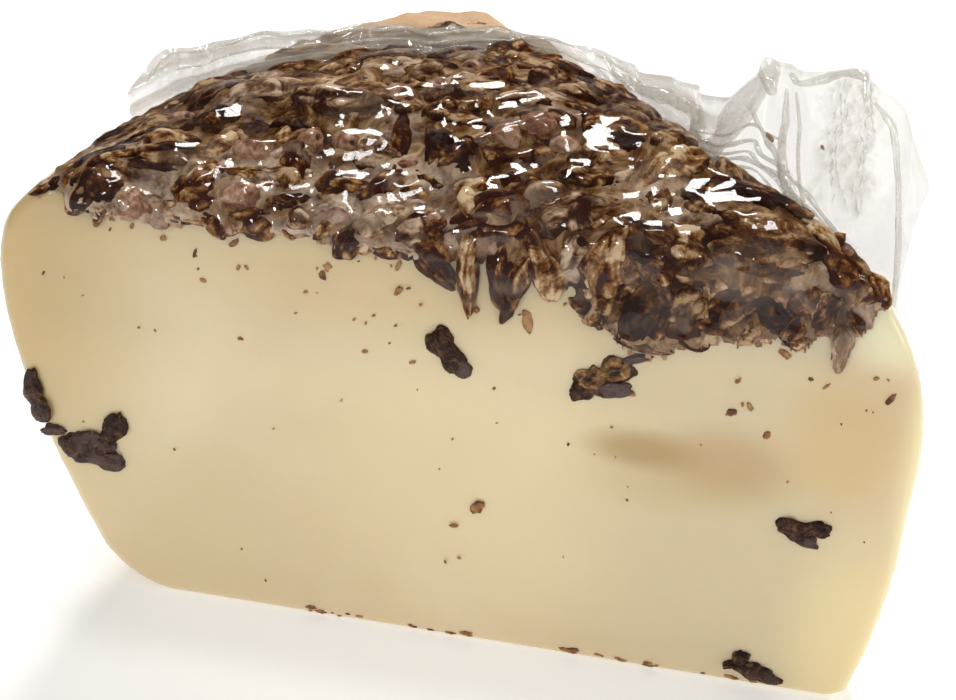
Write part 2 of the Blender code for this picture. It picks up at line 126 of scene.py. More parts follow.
def fall_in(z, bulge):
    """How far a side stands inside its widest level at height z."""
    widest, below, above = bulge
    level = widest * EDGE_HEIGHT
    low = np.clip((level - z) / level, 0, 1) ** SWELL_BELOW
    high = np.clip((z - level) / (EDGE_HEIGHT - level), 0, 1) ** SWELL_ABOVE
    return below * low + above * high


def base_round(z, radius):
    """The small round where a side meets the base."""
    drop = np.clip(radius - z, 0, radius)
    return radius - np.sqrt(radius**2 - drop**2)


def round_join(a, b, radius):
    """The larger of two distances, with the edge between their surfaces rounded."""
    rounded = np.hypot(np.maximum(a + radius, 0), np.maximum(b + radius, 0)) - radius
    return np.where((a > -radius) & (b > -radius), rounded, np.maximum(a, b))


def outside(x, y, z):
    """Distance of a point outside the wedge's four sides, below zero inside it."""
    rind = np.hypot(x - TIP_X, y) - WHEEL_RADIUS + fall_in(z, RIND_BULGE) + base_round(z, RIND_FILLET)
    back = (x - TIP_X) * math.sin(WEDGE_ANGLE) + y * math.cos(WEDGE_ANGLE)
    back = back + fall_in(z, BACK_BULGE) + base_round(z, CUT_FILLET)
    face = fall_in(z, FACE_BULGE) + base_round(z, CUT_FILLET) - y
    tip = x - TIP_X + TIP_BLUNT + fall_in(z, TIP_BULGE) + base_round(z, TIP_BASE_FILLET)
    far = round_join(rind, back, FAR_FILLET)
    near = round_join(tip, back, TIP_FILLET)
    return round_join(np.maximum(far, near), face, FACE_FILLET)


def outline(angles, z):
    """Where rays from the middle meet the sides at height z."""
    near, far = np.zeros_like(angles), np.full_like(angles, WHEEL_RADIUS)
    for _ in range(36):
        half = (near + far) / 2
        d = outside(MIDDLE[0] + half * np.cos(angles), MIDDLE[1] + half * np.sin(angles), z)
        near, far = np.where(d < 0, half, near), np.where(d < 0, far, half)
    x = MIDDLE[0] + half * np.cos(angles)
    y = MIDDLE[1] + half * np.sin(angles)
    return np.stack([x, y, np.broadcast_to(z, x.shape)], axis=1)


def spread_angles(count, turn_weight=0.012):
    """Angles spaced by the outline's length and by how sharply it turns."""
    angles = np.linspace(-math.pi, math.pi, 1441)
    ring = outline(angles, 0.5 * EDGE_HEIGHT)
    step = np.diff(ring[:, :2], axis=0)
    heading = np.unwrap(np.arctan2(step[:, 1], step[:, 0]))
    turn = np.abs(np.diff(heading, append=heading[-1]))
    weight = np.hypot(step[:, 0], step[:, 1]) + turn_weight * turn
    total = np.concatenate([[0.0], np.cumsum(weight)])
    return np.interp(np.linspace(0, total[-1], count, endpoint=False), total, angles)


EDGE_ANGLES = np.linspace(-math.pi, math.pi, 2881)
EDGE_RING = outline(EDGE_ANGLES, EDGE_HEIGHT)
EDGE_REACH = np.hypot(EDGE_RING[:, 0] - MIDDLE[0], EDGE_RING[:, 1] - MIDDLE[1])


def share_out(x, y):
    """How far out a plan point lies: 0 in the middle, 1 on the top's edge."""
    angle = np.arctan2(y - MIDDLE[1], x - MIDDLE[0])
    return np.hypot(x - MIDDLE[0], y - MIDDLE[1]) / np.interp(angle, EDGE_ANGLES, EDGE_REACH)


def top_height(x, y):
    """The crust's mean top: a low crown."""
    return EDGE_HEIGHT + CROWN * (1 - np.minimum(share_out(x, y), 1.0) ** 2)


def marc_cover(x, y):
    """How far a plan point lies inside the marc's outer edge, below zero on bare rind."""
    rim = WHEEL_RADIUS - RIND_BULGE[2] - np.hypot(x - TIP_X, y)
    near_corner = np.exp(-((np.hypot(x - CORNER_X, y - CORNER_Y) / BARE_CORNER_REACH) ** 2))
    margin = BARE_MARGIN * np.exp(-np.clip(y, 0, None) / BARE_MARGIN_DEPTH)
    return rim - margin - BARE_CORNER * near_corner


def bed_height(x, y):
    """The paste's top: bare rind outside, then a bed that the marc fills."""
    u = np.minimum(share_out(x, y), 1.0)
    ripple = LONG_RIPPLE[0] * np.sin(x / LONG_RIPPLE[1])
    ripple = ripple + SHORT_RIPPLE[0] * np.sin(x / SHORT_RIPPLE[1] + y / SHORT_RIPPLE[2])
    near_face = np.exp(-np.clip(y, 0, None) / BED_DIP_DEPTH)
    dip = BED_DIP * np.clip((x - BED_DIP_FROM) / BED_DIP_RISE, 0, 1)
    dip = dip * np.clip((BED_DIP_TO - x) / BED_DIP_FALL, 0, 1) * near_face
    dip = dip * (1 - BED_SHELF * np.clip((x - BED_SHELF_FROM) / BED_SHELF_RISE, 0, 1))
    bed = BED_EDGE + BED_CROWN * (1 - u**2) - dip + ripple * near_face
    bare = np.clip(0.5 - marc_cover(x, y) / BED_STEP, 0, 1)
    return bed + (top_height(x, y) - bed) * bare


def unevenness(points, pitch, seed, count=14):
    """A smooth random height, about -1 to 1, whose waves are about a pitch long."""
    draw = np.random.default_rng(seed)
    total = np.zeros(len(points))
    for _ in range(count):
        way = draw.normal(size=3)
        way *= 2 * math.pi / (pitch * draw.uniform(0.7, 1.6) * np.linalg.norm(way))
        total += np.sin(points @ way + draw.uniform(0, 2 * math.pi))
    return total / math.sqrt(count)


def mesh_piece(name, points, faces, finish, tones=None):
    """A mesh piece in the wedge's own frame, with named values on its points if given."""
    mesh = bpy.data.meshes.new(name)
    faces = np.asarray(faces, dtype=np.int32)
    corners = faces.shape[1]
    mesh.vertices.add(len(points))
    mesh.vertices.foreach_set("co", (np.asarray(points) + HOME).astype(np.float32).ravel())
    mesh.loops.add(faces.size)
    mesh.loops.foreach_set("vertex_index", faces.ravel())
    mesh.polygons.add(len(faces))
    mesh.polygons.foreach_set("loop_start", np.arange(0, faces.size, corners, dtype=np.int32))
    mesh.update(calc_edges=True)
    for label, values in (tones or {}).items():
        layer = mesh.attributes.new(label, "FLOAT", "POINT")
        layer.data.foreach_set("value", np.asarray(values, dtype=np.float32))
    mesh.validate()
    mesh.shade_smooth()
    mesh.materials.append(finish)
    piece = bpy.data.objects.new(name, mesh)
    bpy.context.scene.collection.objects.link(piece)
    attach(piece, "root")
    return piece


def ring_faces(levels, count):
    """Quads between rings, each of the same count."""
    j = np.arange(count)
    k = (j + 1) % count
    return np.concatenate(
        [np.stack([r * count + j, r * count + k, r * count + count + k, r * count + count + j], 1)
         for r in range(levels - 1)]
    )


def close_rings(rings):
    """The points of a body through rings, closed by shrinking its two ends."""
    low, top = rings[0], rings[-1]
    base = [low.mean(axis=0) + (low - low.mean(axis=0)) * share for share in (0.02, 0.35, 0.7, 0.93)]
    return np.concatenate(base + rings + [top.mean(axis=0) + (top - top.mean(axis=0)) * 0.02])


def new_finish(name):
    """A material with its nodes and its shader."""
    mat = bpy.data.materials.new(name)
    mat.use_nodes = True
    return mat, mat.node_tree, mat.node_tree.nodes["Principled BSDF"]


def fill_in(tree, node, inputs):
    """Sets a node's sockets, or links them where the value is a socket."""
    for label, value in inputs.items():
        if isinstance(value, bpy.types.NodeSocket):
            tree.links.new(value, node.inputs[label])
        else:
            node.inputs[label].default_value = value


def add_node(tree, kind, inputs=None, **settings):
    """A shader node with its settings and its sockets."""
    made = tree.nodes.new(kind)
    for label, value in settings.items():
        setattr(made, label, value)
    fill_in(tree, made, inputs or {})
    return made


def own_place(tree):
    """Where a spot lies on its own object."""
    return add_node(tree, "ShaderNodeTexCoord").outputs["Object"]


def reckon(tree, operation, *values):
    """A sum, a product or the like of values."""
    return add_node(tree, "ShaderNodeMath", dict(enumerate(values)), operation=operation).outputs[0]


def cloudy(tree, pitch, detail=4.0, roughness=0.55, warp=0.0, offset=(0, 0, 0)):
    """A noise value from the object's own place, with clouds about a pitch wide."""
    moved = add_node(tree, "ShaderNodeMapping", {"Vector": own_place(tree), "Location": offset}).outputs[0]
    return add_node(
        tree, "ShaderNodeTexNoise",
        {"Vector": moved, "Scale": 1 / pitch, "Detail": detail, "Roughness": roughness, "Distortion": warp},
    ).outputs["Fac"]


def ramp(tree, value, stops):
    """Colours spread over a value: (place, (red, green, blue)) from low to high."""
    made = add_node(tree, "ShaderNodeValToRGB", {"Fac": value})
    band = made.color_ramp
    while len(band.elements) < len(stops):
        band.elements.new(0.5)
    for element, (place, colour) in zip(band.elements, stops):
        element.position = place
        element.color = (*colour, 1.0)
    return made.outputs["Color"]


def blend_colours(tree, share, first, second):
    """The first colour where the share is 0 and the second where it is 1."""
    first, second = ((*colour, 1.0) if isinstance(colour, tuple) else colour for colour in (first, second))
    return add_node(tree, "ShaderNodeMix", {0: share, 6: first, 7: second}, data_type="RGBA").outputs[2]


def spread(tree, value, low, high, out_low=0.0, out_high=1.0, **settings):
    """Maps low..high of a value onto another range, held at its ends."""
    return add_node(
        tree, "ShaderNodeMapRange",
        {"Value": value, "From Min": low, "From Max": high, "To Min": out_low, "To Max": out_high},
        **settings,
    ).outputs[0]


def relief_of(tree, value, depth):
    """A bump from a value, as deep as given."""
    bump = add_node(tree, "ShaderNodeBump", {"Height": value, "Distance": depth, "Strength": 1.0})
    return bump.outputs[0]


PASTE_SHADE_DEPTH = 0.060                 # how far back from the face the shades reach
# Each: x, z of the middle, half width, half height, strength, colour. The last three, by the
# tip, are a painted glow of light coming through the thin paste.
PASTE_PATCHES_AND_TIP_GLOW = (
    (-0.052, 0.012, 0.034, 0.030, 0.75, (0.71, 0.570, 0.320)),
    (-0.074, 0.056, 0.036, 0.050, 0.95, (0.62, 0.455, 0.200)),
    (0.004, 0.034, 0.040, 0.044, 0.70, (0.86, 0.710, 0.430)),
    (-0.010, 0.066, 0.060, 0.016, 0.50, (0.71, 0.520, 0.245)),
    (0.044, 0.022, 0.032, 0.058, 0.90, (0.70, 0.580, 0.360)),
    (0.036, 0.0365, 0.019, 0.0075, 0.50, (0.62, 0.470, 0.220)),
    (0.043, 0.0410, 0.016, 0.0090, 0.85, (0.56, 0.390, 0.180)),
    (0.030, 0.0415, 0.012, 0.0048, 0.85, (0.46, 0.305, 0.105)),
    (0.060, 0.048, 0.014, 0.018, 0.80, (0.71, 0.510, 0.225)),
    (0.064, 0.012, 0.014, 0.026, 0.75, (0.92, 0.770, 0.400)),
    (0.075, 0.040, 0.009, 0.050, 0.95, (1.00, 0.940, 0.560)),
    (0.066, 0.066, 0.014, 0.009, 0.90, (0.97, 0.900, 0.620)),
)


def soft_patch(tree, middle, half, most):
    """A share that is full in the middle of a soft-edged region and 0 outside it."""
    back = [-(offset + home) / reach for offset, home, reach in zip(middle, HOME, half)]
    scale = [1 / reach for reach in half]
    moved = add_node(tree, "ShaderNodeMapping", {"Vector": own_place(tree), "Location": back, "Scale": scale})
    away = add_node(tree, "ShaderNodeVectorMath", {0: moved.outputs[0]}, operation="LENGTH").outputs["Value"]
    return spread(tree, away, 0.2, 1.0, most, 0.0, interpolation_type="SMOOTHSTEP")


def paste_finish():
    """Ivory paste: darker at the rind, with a painted yellow glow of light where the tip is thin, satin under
    its film.
    """
    mat, tree, shader = new_finish("ivory_paste")
    split = add_node(tree, "ShaderNodeSeparateXYZ", {0: own_place(tree)})
    paste = ramp(tree, cloudy(tree, 0.032, 3.0, 0.5, 0.4), (
        (0.30, (0.73, 0.580, 0.350)),
        (0.52, (0.78, 0.635, 0.400)),
        (0.72, (0.81, 0.680, 0.450)),
    ))
    # Patches of colour; those at the tip paint the glow of light coming through the thin paste.
    for x, z, half_x, half_z, most, colour in PASTE_PATCHES_AND_TIP_GLOW:
        share = soft_patch(tree, (x, 0.0, z), (half_x, PASTE_SHADE_DEPTH, half_z), most)
        paste = blend_colours(tree, share, paste, colour)
    beyond = spread(tree, split.outputs["Y"], *(HOME[1] + back for back in PEACH_BEYOND))
    above = spread(tree, split.outputs["Z"], *PEACH_ABOVE)
    paste = blend_colours(tree, reckon(tree, "MULTIPLY", beyond, above), paste, (0.78, 0.50, 0.33))
    fill_in(tree, shader, {
        "Base Color": paste,
        "Subsurface Weight": 0.35,
        "Subsurface Radius": (1.0, 0.55, 0.22),
        "Subsurface Scale": 0.006,
        "Coat Weight": 0.8,
        "Coat Roughness": 0.12,
        "Roughness": spread(tree, cloudy(tree, 0.006), 0.3, 0.7, 0.38, 0.5),
        "Normal": relief_of(tree, cloudy(tree, 0.0022, 2.0), 0.00006),
    })
    return mat


def share_steps(count):
    """Levels from 0 to 1 that crowd together at both ends."""
    t = np.linspace(0, 1, count)
    return 0.5 * t + 0.25 * (1 - np.cos(math.pi * t))


def drawn_in(edge, count):
    """Plan places of rings that draw in from an edge towards the middle."""
    for share in np.linspace(0.985, 0.04, count):
        yield MIDDLE[0] + (edge[:, 0] - MIDDLE[0]) * share, MIDDLE[1] + (edge[:, 1] - MIDDLE[1]) * share


paste_angles = spread_angles(PASTE_COLUMNS)
paste_edge = outline(paste_angles, EDGE_HEIGHT)
paste_bed = bed_height(paste_edge[:, 0], paste_edge[:, 1])
paste_rings = [outline(paste_angles, share * paste_bed) for share in share_steps(PASTE_LEVELS)]
for x, y in drawn_in(paste_rings[-1], PASTE_RINGS):
    paste_rings.append(np.stack([x, y, bed_height(x, y)], axis=1))
for ring in paste_rings:
    inward = MIDDLE - ring[:, :2]
    inward /= np.linalg.norm(inward, axis=1)[:, None]
    lifted = np.clip(ring[:, 2] / FLAT_BASE, 0, 1)
    dent = PASTE_UNEVEN * (1 + unevenness(ring, PASTE_UNEVEN_PITCH, 3)) * lifted
    drag = WIRE_DRAG * unevenness(ring * (0.15, 1.0, 1.0), WIRE_DRAG_PITCH, 4) * lifted
    ring[:, :2] += inward * (dent + drag)[:, None]
paste_body = close_rings(paste_rings)
paste = mesh_piece("paste_wedge", paste_body, ring_faces(len(paste_body) // PASTE_COLUMNS, PASTE_COLUMNS),
                   paste_finish())
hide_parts("paste")


# The marc's core: what grape skins, pips and juice press together to under the whole skins.
# It is dark, damp and dense, and fills the bed from the paste up to the crust's top. At the
# far corner the marc has come away and the peach coloured rind is bare.

CORE_COLUMNS = 300
CORE_SIDE_RINGS = 18
CORE_TOP_RINGS = 48
CORE_FROM = 0.66                          # where its side starts, of the edge's height
CORE_INSET = 0.988                        # its side's share of the wedge's reach in plan
CORE_LET_IN = 0.05                        # how much less of it where the paste stands outside
CORE_LET_IN_STEP = 0.003
CORE_SINK = 0.0016
CORE_LUMPS, CORE_LUMPS_PITCH = 0.0010, 0.009
CORE_GRAIN, CORE_GRAIN_PITCH = 0.00035, 0.0026
# Mounds and hollows of the crust: x, y, half length, half width, turn, height, in millimetres
SWELLS = (
    (-46.0, 36.0, 9.0, 6.0, 20, 1.2),
    (-49.0, 29.5, 4.0, 3.5, 0, -1.4),
    (-25.0, 26.5, 9.0, 5.5, 10, 1.7),
    (-34.0, 21.0, 10.0, 2.6, 5, -1.0),
    (-22.5, 47.5, 10.0, 4.5, 8, 1.2),
    (-9.5, 14.0, 9.0, 4.5, 0, -2.0),
    (-6.0, 20.5, 4.5, 4.5, 60, 1.3),
    (0.0, 8.5, 13.0, 3.6, 0, 0.9),
    (14.0, 8.5, 7.5, 4.5, 10, 1.7),
    (27.0, 14.5, 5.0, 3.5, -30, -1.5),
    (34.0, 7.0, 6.0, 3.0, -10, 0.8),
    (46.0, 6.0, 11.0, 5.0, -8, 1.9),
    (44.0, 14.0, 8.0, 2.8, -25, 0.9),
    (10.0, 27.0, 8.0, 4.0, -20, 1.0),
    (-56.0, 8.0, 5.0, 4.0, 40, 0.7),
    (-40.0, 9.0, 8.0, 4.0, 0, 0.5),
    (-31.0, 85.0, 17.0, 12.0, 35, 4.2),
    (51.0, 16.5, 9.0, 3.5, -48, -1.3),
    (37.0, 32.0, 9.0, 3.5, -48, -1.0),
)
BARE_FROM = 0.0725                        # how far back the marc reaches
BARE_WAVE, BARE_WAVE_PITCH = 0.0016, 0.011
BARE_CUT_BACK = 0.002                     # how much less far it reaches by the second cut
BARE_EDGE = 0.0012
BARE_SMOOTH = 0.75                        # how much smoother the bare rind is than the marc
# Marc left on the bare rind: x, y, half length, half width, turn, in millimetres and degrees
BARE_PATCHES = ((-31.0, 81.5, 7.0, 1.7, 38), (-14.5, 80.0, 5.0, 1.5, -12), (-26.0, 88.5, 3.0, 0.8, 10))


def away_from(x, y, at_x, at_y, length, width, turn=0.0):
    """How far plan points lie from a turned oval given in millimetres: 1 on its edge."""
    c, s = math.cos(math.radians(turn)), math.sin(math.radians(turn))
    aside_x, aside_y = x * 1000 - at_x, y * 1000 - at_y
    return np.hypot((aside_x * c + aside_y * s) / length, (aside_y * c - aside_x * s) / width)


def bare_rind(x, y):
    """1 where the far corner's rind is bare, 0 under marc."""
    spots = np.stack([x, y, 0 * x], axis=-1).reshape(-1, 3)
    edge = BARE_FROM + BARE_WAVE * unevenness(spots, BARE_WAVE_PITCH, 61).reshape(np.shape(x))
    edge = edge - BARE_CUT_BACK * np.clip((x + 0.016) / 0.010, 0, 1)
    share = np.clip((y - edge) / BARE_EDGE, 0, 1)
    for row in BARE_PATCHES:
        share = np.minimum(share, np.clip((away_from(x, y, *row) - 0.5) * 1.4, 0, 1))
    return share


def swell(x, y):
    """How far a mound lifts the crust over a plan point, or a hollow lowers it."""
    return sum(row[5] / 1000 * np.exp(-(away_from(x, y, *row[:5]) ** 2)) for row in SWELLS)


def value_on(tree, name="tone"):
    """A named value on the mesh's points."""
    return add_node(tree, "ShaderNodeAttribute", attribute_name=name).outputs["Fac"]


def core_finish():
    """Damp dark marc, and peach rind where the value on it says bare."""
    mat, tree, shader = new_finish("pressed_marc")
    marc = ramp(tree, cloudy(tree, 0.0032, 7.0, 0.7, 1.2), (
        (0.34, (0.012, 0.006, 0.004)),
        (0.47, (0.045, 0.022, 0.012)),
        (0.57, (0.120, 0.060, 0.034)),
        (0.70, (0.300, 0.185, 0.120)),
    ))
    ragged = spread(tree, cloudy(tree, 0.0030, 6.0, 0.7, 1.0), 0.3, 0.7, -0.4, 0.4)
    bare = spread(tree, reckon(tree, "ADD", value_on(tree), ragged), 0.42, 0.58)
    rind = ramp(tree, cloudy(tree, 0.012, 4.0, 0.6, 0.6), (
        (0.35, (0.65, 0.36, 0.185)),
        (0.55, (0.74, 0.49, 0.285)),
        (0.70, (0.79, 0.60, 0.380)),
    ))
    fill_in(tree, shader, {
        "Base Color": blend_colours(tree, bare, marc, rind),
        "Specular IOR Level": 0.2,
        "Roughness": spread(tree, cloudy(tree, 0.002), 0.3, 0.7, 0.35, 0.6),
        "Normal": relief_of(tree, cloudy(tree, 0.0013, 6.0, 0.65), 0.0004),
    })
    return mat


core_angles = spread_angles(CORE_COLUMNS)
core_rings = []
for share in np.linspace(CORE_FROM, 1.0, CORE_SIDE_RINGS):
    ring = outline(core_angles, np.full(CORE_COLUMNS, share * EDGE_HEIGHT))
    let_in = np.clip((bed_height(ring[:, 0], ring[:, 1]) - ring[:, 2]) / CORE_LET_IN_STEP, 0, 1)
    ring[:, :2] = MIDDLE + (ring[:, :2] - MIDDLE) * (CORE_INSET - CORE_LET_IN * let_in)[:, None]
    cover = marc_cover(ring[:, 0], ring[:, 1])
    ring[:, :2] += (MIDDLE - ring[:, :2]) * np.clip(0.010 - cover / 0.05, 0, 0.3)[:, None]
    core_rings.append(ring)
for x, y in drawn_in(core_rings[-1], CORE_TOP_RINGS):
    ring = np.stack([x, y, top_height(x, y) - CORE_SINK], axis=1)
    rough = 1 - BARE_SMOOTH * bare_rind(x, y)
    lumps = CORE_LUMPS * unevenness(ring, CORE_LUMPS_PITCH, 21)
    lumps = lumps + CORE_GRAIN * unevenness(ring, CORE_GRAIN_PITCH, 22)
    ring[:, 2] += rough * lumps + swell(x, y)
    ring[:, 2] += (1 - rough) * CORE_SINK
    core_rings.append(ring)
core_body = close_rings(core_rings)
core = mesh_piece("marc_core", core_body, ring_faces(len(core_body) // CORE_COLUMNS, CORE_COLUMNS),
                  core_finish(), {"tone": bare_rind(core_body[:, 0], core_body[:, 1])})


# Grape skins: whole skins left from the press, collapsed like raisins, wet and nearly black to
# chocolate brown. They lie every way on the core, and some hang over the cut face.

FINE = 5                                  # icosphere levels: 5120, 1280 and 320 triangles
MIDDLING = 4
COARSE = 3
FINE_FROM = 4.5                           # half length in millimetres from which a skin is fine
HANGING_DEPTH = 0.0019
SKIN_LIFT = 0.0002
RIM_SINK = 0.0010                         # how much thinner the crust is along the rind
RIM_REACH = 0.006
balls = {}


def ball(levels):
    """Points and triangles of a unit icosphere, made once for each fineness."""
    if levels not in balls:
        bm = bmesh.new()
        bmesh.ops.create_icosphere(bm, subdivisions=levels, radius=1.0)
        balls[levels] = (
            np.array([v.co for v in bm.verts]),
            np.array([[v.index for v in f.verts] for f in bm.faces]),
        )
        bm.free()
    return balls[levels]


def creases(points, pitch, draw, count=6):
    """Rounded ridges with sharp valleys between them, about 0 at the mean."""
    total = np.zeros(len(points))
    for _ in range(count):
        way = draw.normal(size=3)
        way *= math.pi / (pitch * draw.uniform(0.7, 1.5) * np.linalg.norm(way))
        total += np.abs(np.sin(points @ way + draw.uniform(0, math.pi)))
    return total / count - 2 / math.pi


def grape_skin(half, draw, levels, ridges=4.0, fold=0.18, crumple=0.40, ragged=0.17, bend=0.20):
    """A pressed grape skin: folded lengthwise, crumpled, ragged in plan and bent.

    Gives its points, its faces and how far each point stands on a ridge, 0 in a valley to 1; as the colour's
    tone this paints shade into the valleys and light onto the ridges.
    """
    points, faces = ball(levels)
    soft = points + 0.2 * np.stack([unevenness(points, 1.8, draw.integers(9999), 5) for _ in range(3)], 1)
    angle = np.arctan2(soft[:, 2], soft[:, 1])
    ridge = np.abs(np.sin(0.5 * ridges * angle + 0.9 * np.sin(2.2 * soft[:, 0] + draw.uniform(0, 6)))) - 0.64
    ridge *= np.sqrt(np.clip(1 - points[:, 0] ** 2, 0, 1))
    large, small, tiny = (creases(soft, pitch, draw) for pitch in (0.80, 0.34, 0.15))
    relief = fold * ridge + crumple * (large + 0.50 * small + 0.12 * tiny)
    p = points * (1 + relief)[:, None]
    edge = np.arctan2(points[:, 1], points[:, 0])
    lobes = sum(np.sin(k * edge + draw.uniform(0, 6)) / k**0.7 for k in (2, 3, 5))
    p[:, :2] *= (1 + ragged * lobes)[:, None]
    taper = draw.uniform(-0.35, 0.35)
    p[:, 1] *= 1 + taper * p[:, 0]
    p[:, 2] *= 1 + 0.5 * taper * p[:, 0]
    p[:, 2] += bend * draw.uniform(-1, 1) * (p[:, 0] ** 2 - 0.4)
    p[:, 1] += bend * draw.uniform(-1, 1) * (p[:, 0] ** 2 - 0.4)
    streak = unevenness(soft * (0.45, 1.5, 1.5), 0.55, draw.integers(9999), 9)
    # The colour's tone follows the creases: painted shade in the valleys, painted light on the ridges, with
    # random streaks and a darker rim.
    tone = 0.5 + 0.8 * (0.3 * ridge + large + 0.6 * small + 0.4 * tiny) + 0.12 * streak
    tone = tone - 0.25 * np.hypot(points[:, 0], points[:, 1]) ** 7
    return p * half, faces, np.clip(tone, 0, 1)


def surface_height(x, y):
    """The height of the wedge over a plan point: its top, or its shoulder further out."""
    low, high = np.full_like(x, EDGE_HEIGHT / 2), np.full_like(x, EDGE_HEIGHT)
    for _ in range(30):
        half = (low + high) / 2
        inside = outside(x, y, half) < 0
        low, high = np.where(inside, half, low), np.where(inside, high, half)
    return np.where(outside(x, y, EDGE_HEIGHT) < 0, top_height(x, y), half)


def top_normal(x, y, step=0.002):
    """Which way the crowned top faces over a plan point."""
    x, y = np.array([x, x + step, x]), np.array([y, y, y + step])
    here, right, back = surface_height(x, y) + swell(x, y)
    slope = ((right - here) / step, (back - here) / step)
    return Vector((-slope[0], -slope[1], 1.0)).normalized()


def on_top(x, y, lift=0.0):
    """Place and normal on the crust's top."""
    normal = top_normal(x, y)
    near_rim = math.exp(-max(float(marc_cover(x, y)), 0.0) / RIM_REACH)
    height = surface_height(np.array([x]), np.array([y]))[0] + swell(x, y)
    return np.array([x, y, height + lift - RIM_SINK * near_rim]), normal


def face_point(x, z):
    """The point of the front's surface in line with plan place x, at height z."""
    return outline(np.array([math.atan2(-MIDDLE[1], x - MIDDLE[0])]), z)[0]


def side_normal(point, step=0.0002):
    """Which way the side faces at a point."""
    here = outside(*point)
    return Vector([outside(*(point + axis * step)) - here for axis in np.eye(3)]).normalized()


def laid(points, place, normal, turn):
    """Points laid on a surface, turned about its normal: 0 degrees lies along +X."""
    lean = Vector(normal).to_track_quat("Z", "Y").to_matrix()
    along = lean.inverted() @ Vector((1, 0, 0))
    start = math.atan2(along.y, along.x)
    spin = Matrix.Rotation(start + math.radians(turn), 3, "Z")
    return points @ np.array(lean @ spin).T + place


class Heap:
    """Gathers many small meshes, each with a value on its points, into one."""

    def __init__(self):
        self.points, self.faces, self.tones, self.count = [], [], [], 0

    def add(self, points, faces, tone):
        """Adds one mesh and its value, or its points' values."""
        self.points.append(points)
        self.faces.append(faces + self.count)
        self.tones.append(np.broadcast_to(tone, len(points)))
        self.count += len(points)

    def piece(self, name, finish, slot, label="tone", **more):
        """Makes one piece of them all, with more named values on its points if given."""
        tones = {label: np.concatenate(self.tones), **more}
        return mesh_piece(name, np.concatenate(self.points), np.concatenate(self.faces), finish, tones)


def skin_finish(name, stops, bloom, bloomed=(0.56, 0.72, 0.6), gloss=0.32):
    """Wet skin: painted shade darkens its valleys and painted light brightens its ridges, with a dull bloom
    in patches.
    """
    mat, tree, shader = new_finish(name)
    blots = cloudy(tree, 0.0052, 8.0, 0.70, 1.2)
    fibres = cloudy(tree, 0.0010, 4.0, 0.6, 1.2, (2, 5, 1))
    # The tone on the points carries the painted shade of the valleys and the painted light of the ridges.
    mixed = reckon(tree, "ADD", blots, reckon(tree, "MULTIPLY_ADD", value_on(tree), 0.38, -0.20))
    mixed = reckon(tree, "MULTIPLY_ADD", fibres, 0.16, mixed)
    low, high, most = bloomed
    patch = spread(tree, cloudy(tree, 0.0065, 4.0, 0.55, 0.7, (3, 1, 2)), low, high, 0.0, most)
    fill_in(tree, shader, {
        "Base Color": blend_colours(tree, patch, ramp(tree, spread(tree, mixed, 0.38, 0.74), stops), bloom),
        "Specular IOR Level": 0.03,
        "Roughness": spread(tree, fibres, 0.3, 0.7, gloss, gloss + 0.25),
        "Normal": relief_of(tree, fibres, 0.00018),
    })
    return mat


def lay_skins(heap, rows, draw, on_face, shift=(-0.2, 0.2), **form):
    """Lays fine skins from a table on the top, or with on_face on the cut face."""
    for row in rows:
        if on_face:
            x, z, length, width, turn = row
            place = face_point(x / 1000, z / 1000)
            normal, half = side_normal(place), np.array([length / 1000, width / 1000, HANGING_DEPTH])
        else:
            x, y, length, width, thick, turn = row
            place, normal = on_top(x / 1000, y / 1000, SKIN_LIFT)
            half = np.array([length, width, thick]) / 1000
        points, faces, tone = grape_skin(half, draw, FINE if length > FINE_FROM else MIDDLING, **form)
        heap.add(laid(points, place, normal, turn), faces, tone + draw.uniform(*shift))


# Each: x, y, half length, half width, half thickness, turn, in millimetres and degrees
DARK_ON_TOP = (
    (-57.0, 3.0, 4.4, 3.4, 2.4, 60),
    (-48.0, 9.2, 6.3, 2.8, 2.3, 4),
    (-44.5, 25.5, 4.6, 3.8, 2.2, 80),
    (-8.0, 26.0, 3.2, 3.2, 2.5, 0),
    (-4.5, 16.5, 5.0, 4.2, 3.4, 70),
    (-7.5, 12.5, 3.8, 2.2, 1.7, -10),
    (-26.5, 4.6, 3.4, 1.6, 1.6, 20),
    (28.0, 5.0, 6.2, 3.4, 2.5, -12),
    (27.5, 12.0, 4.8, 3.6, 2.4, 60),
    (28.0, 18.0, 2.8, 2.4, 2.0, 0),
    (43.5, 12.8, 6.8, 2.3, 2.1, -22),
    (44.5, 5.0, 9.0, 4.8, 3.4, -6),
    (35.0, 11.5, 4.8, 3.1, 2.0, -50),
    (17.5, 14.5, 4.2, 2.3, 1.8, 0),
    (22.0, 23.0, 5.2, 3.0, 2.1, -30),
    (-60.0, 12.0, 5.0, 2.0, 1.5, 48),
    (-31.0, 20.5, 4.2, 2.0, 1.6, -20),
    (-53.0, 21.0, 6.6, 2.2, 1.6, 38),
    (10.0, 39.0, 4.4, 2.6, 1.8, -40),
    (-13.0, 44.0, 4.0, 2.6, 1.9, 0),
)

# Each: x, z on the cut face, half length, half width, lean
DARK_HANGING = (
    (-60.2, 70.0, 2.8, 1.1, 62),
    (-18.0, 69.4, 3.4, 2.3, 75),
    (8.4, 62.6, 2.6, 1.1, 82),
    (30.0, 64.4, 5.4, 4.6, 75),
    (23.4, 64.0, 3.6, 2.6, 60),
    (35.5, 66.0, 3.8, 2.6, 30),
    (43.5, 66.8, 4.3, 3.0, 30),
    (40.6, 63.4, 2.8, 1.5, -8),
    (45.4, 63.0, 2.2, 1.5, 50),
    (49.2, 66.4, 3.6, 2.5, -38),
    (57.0, 67.6, 3.0, 2.2, 70),
)

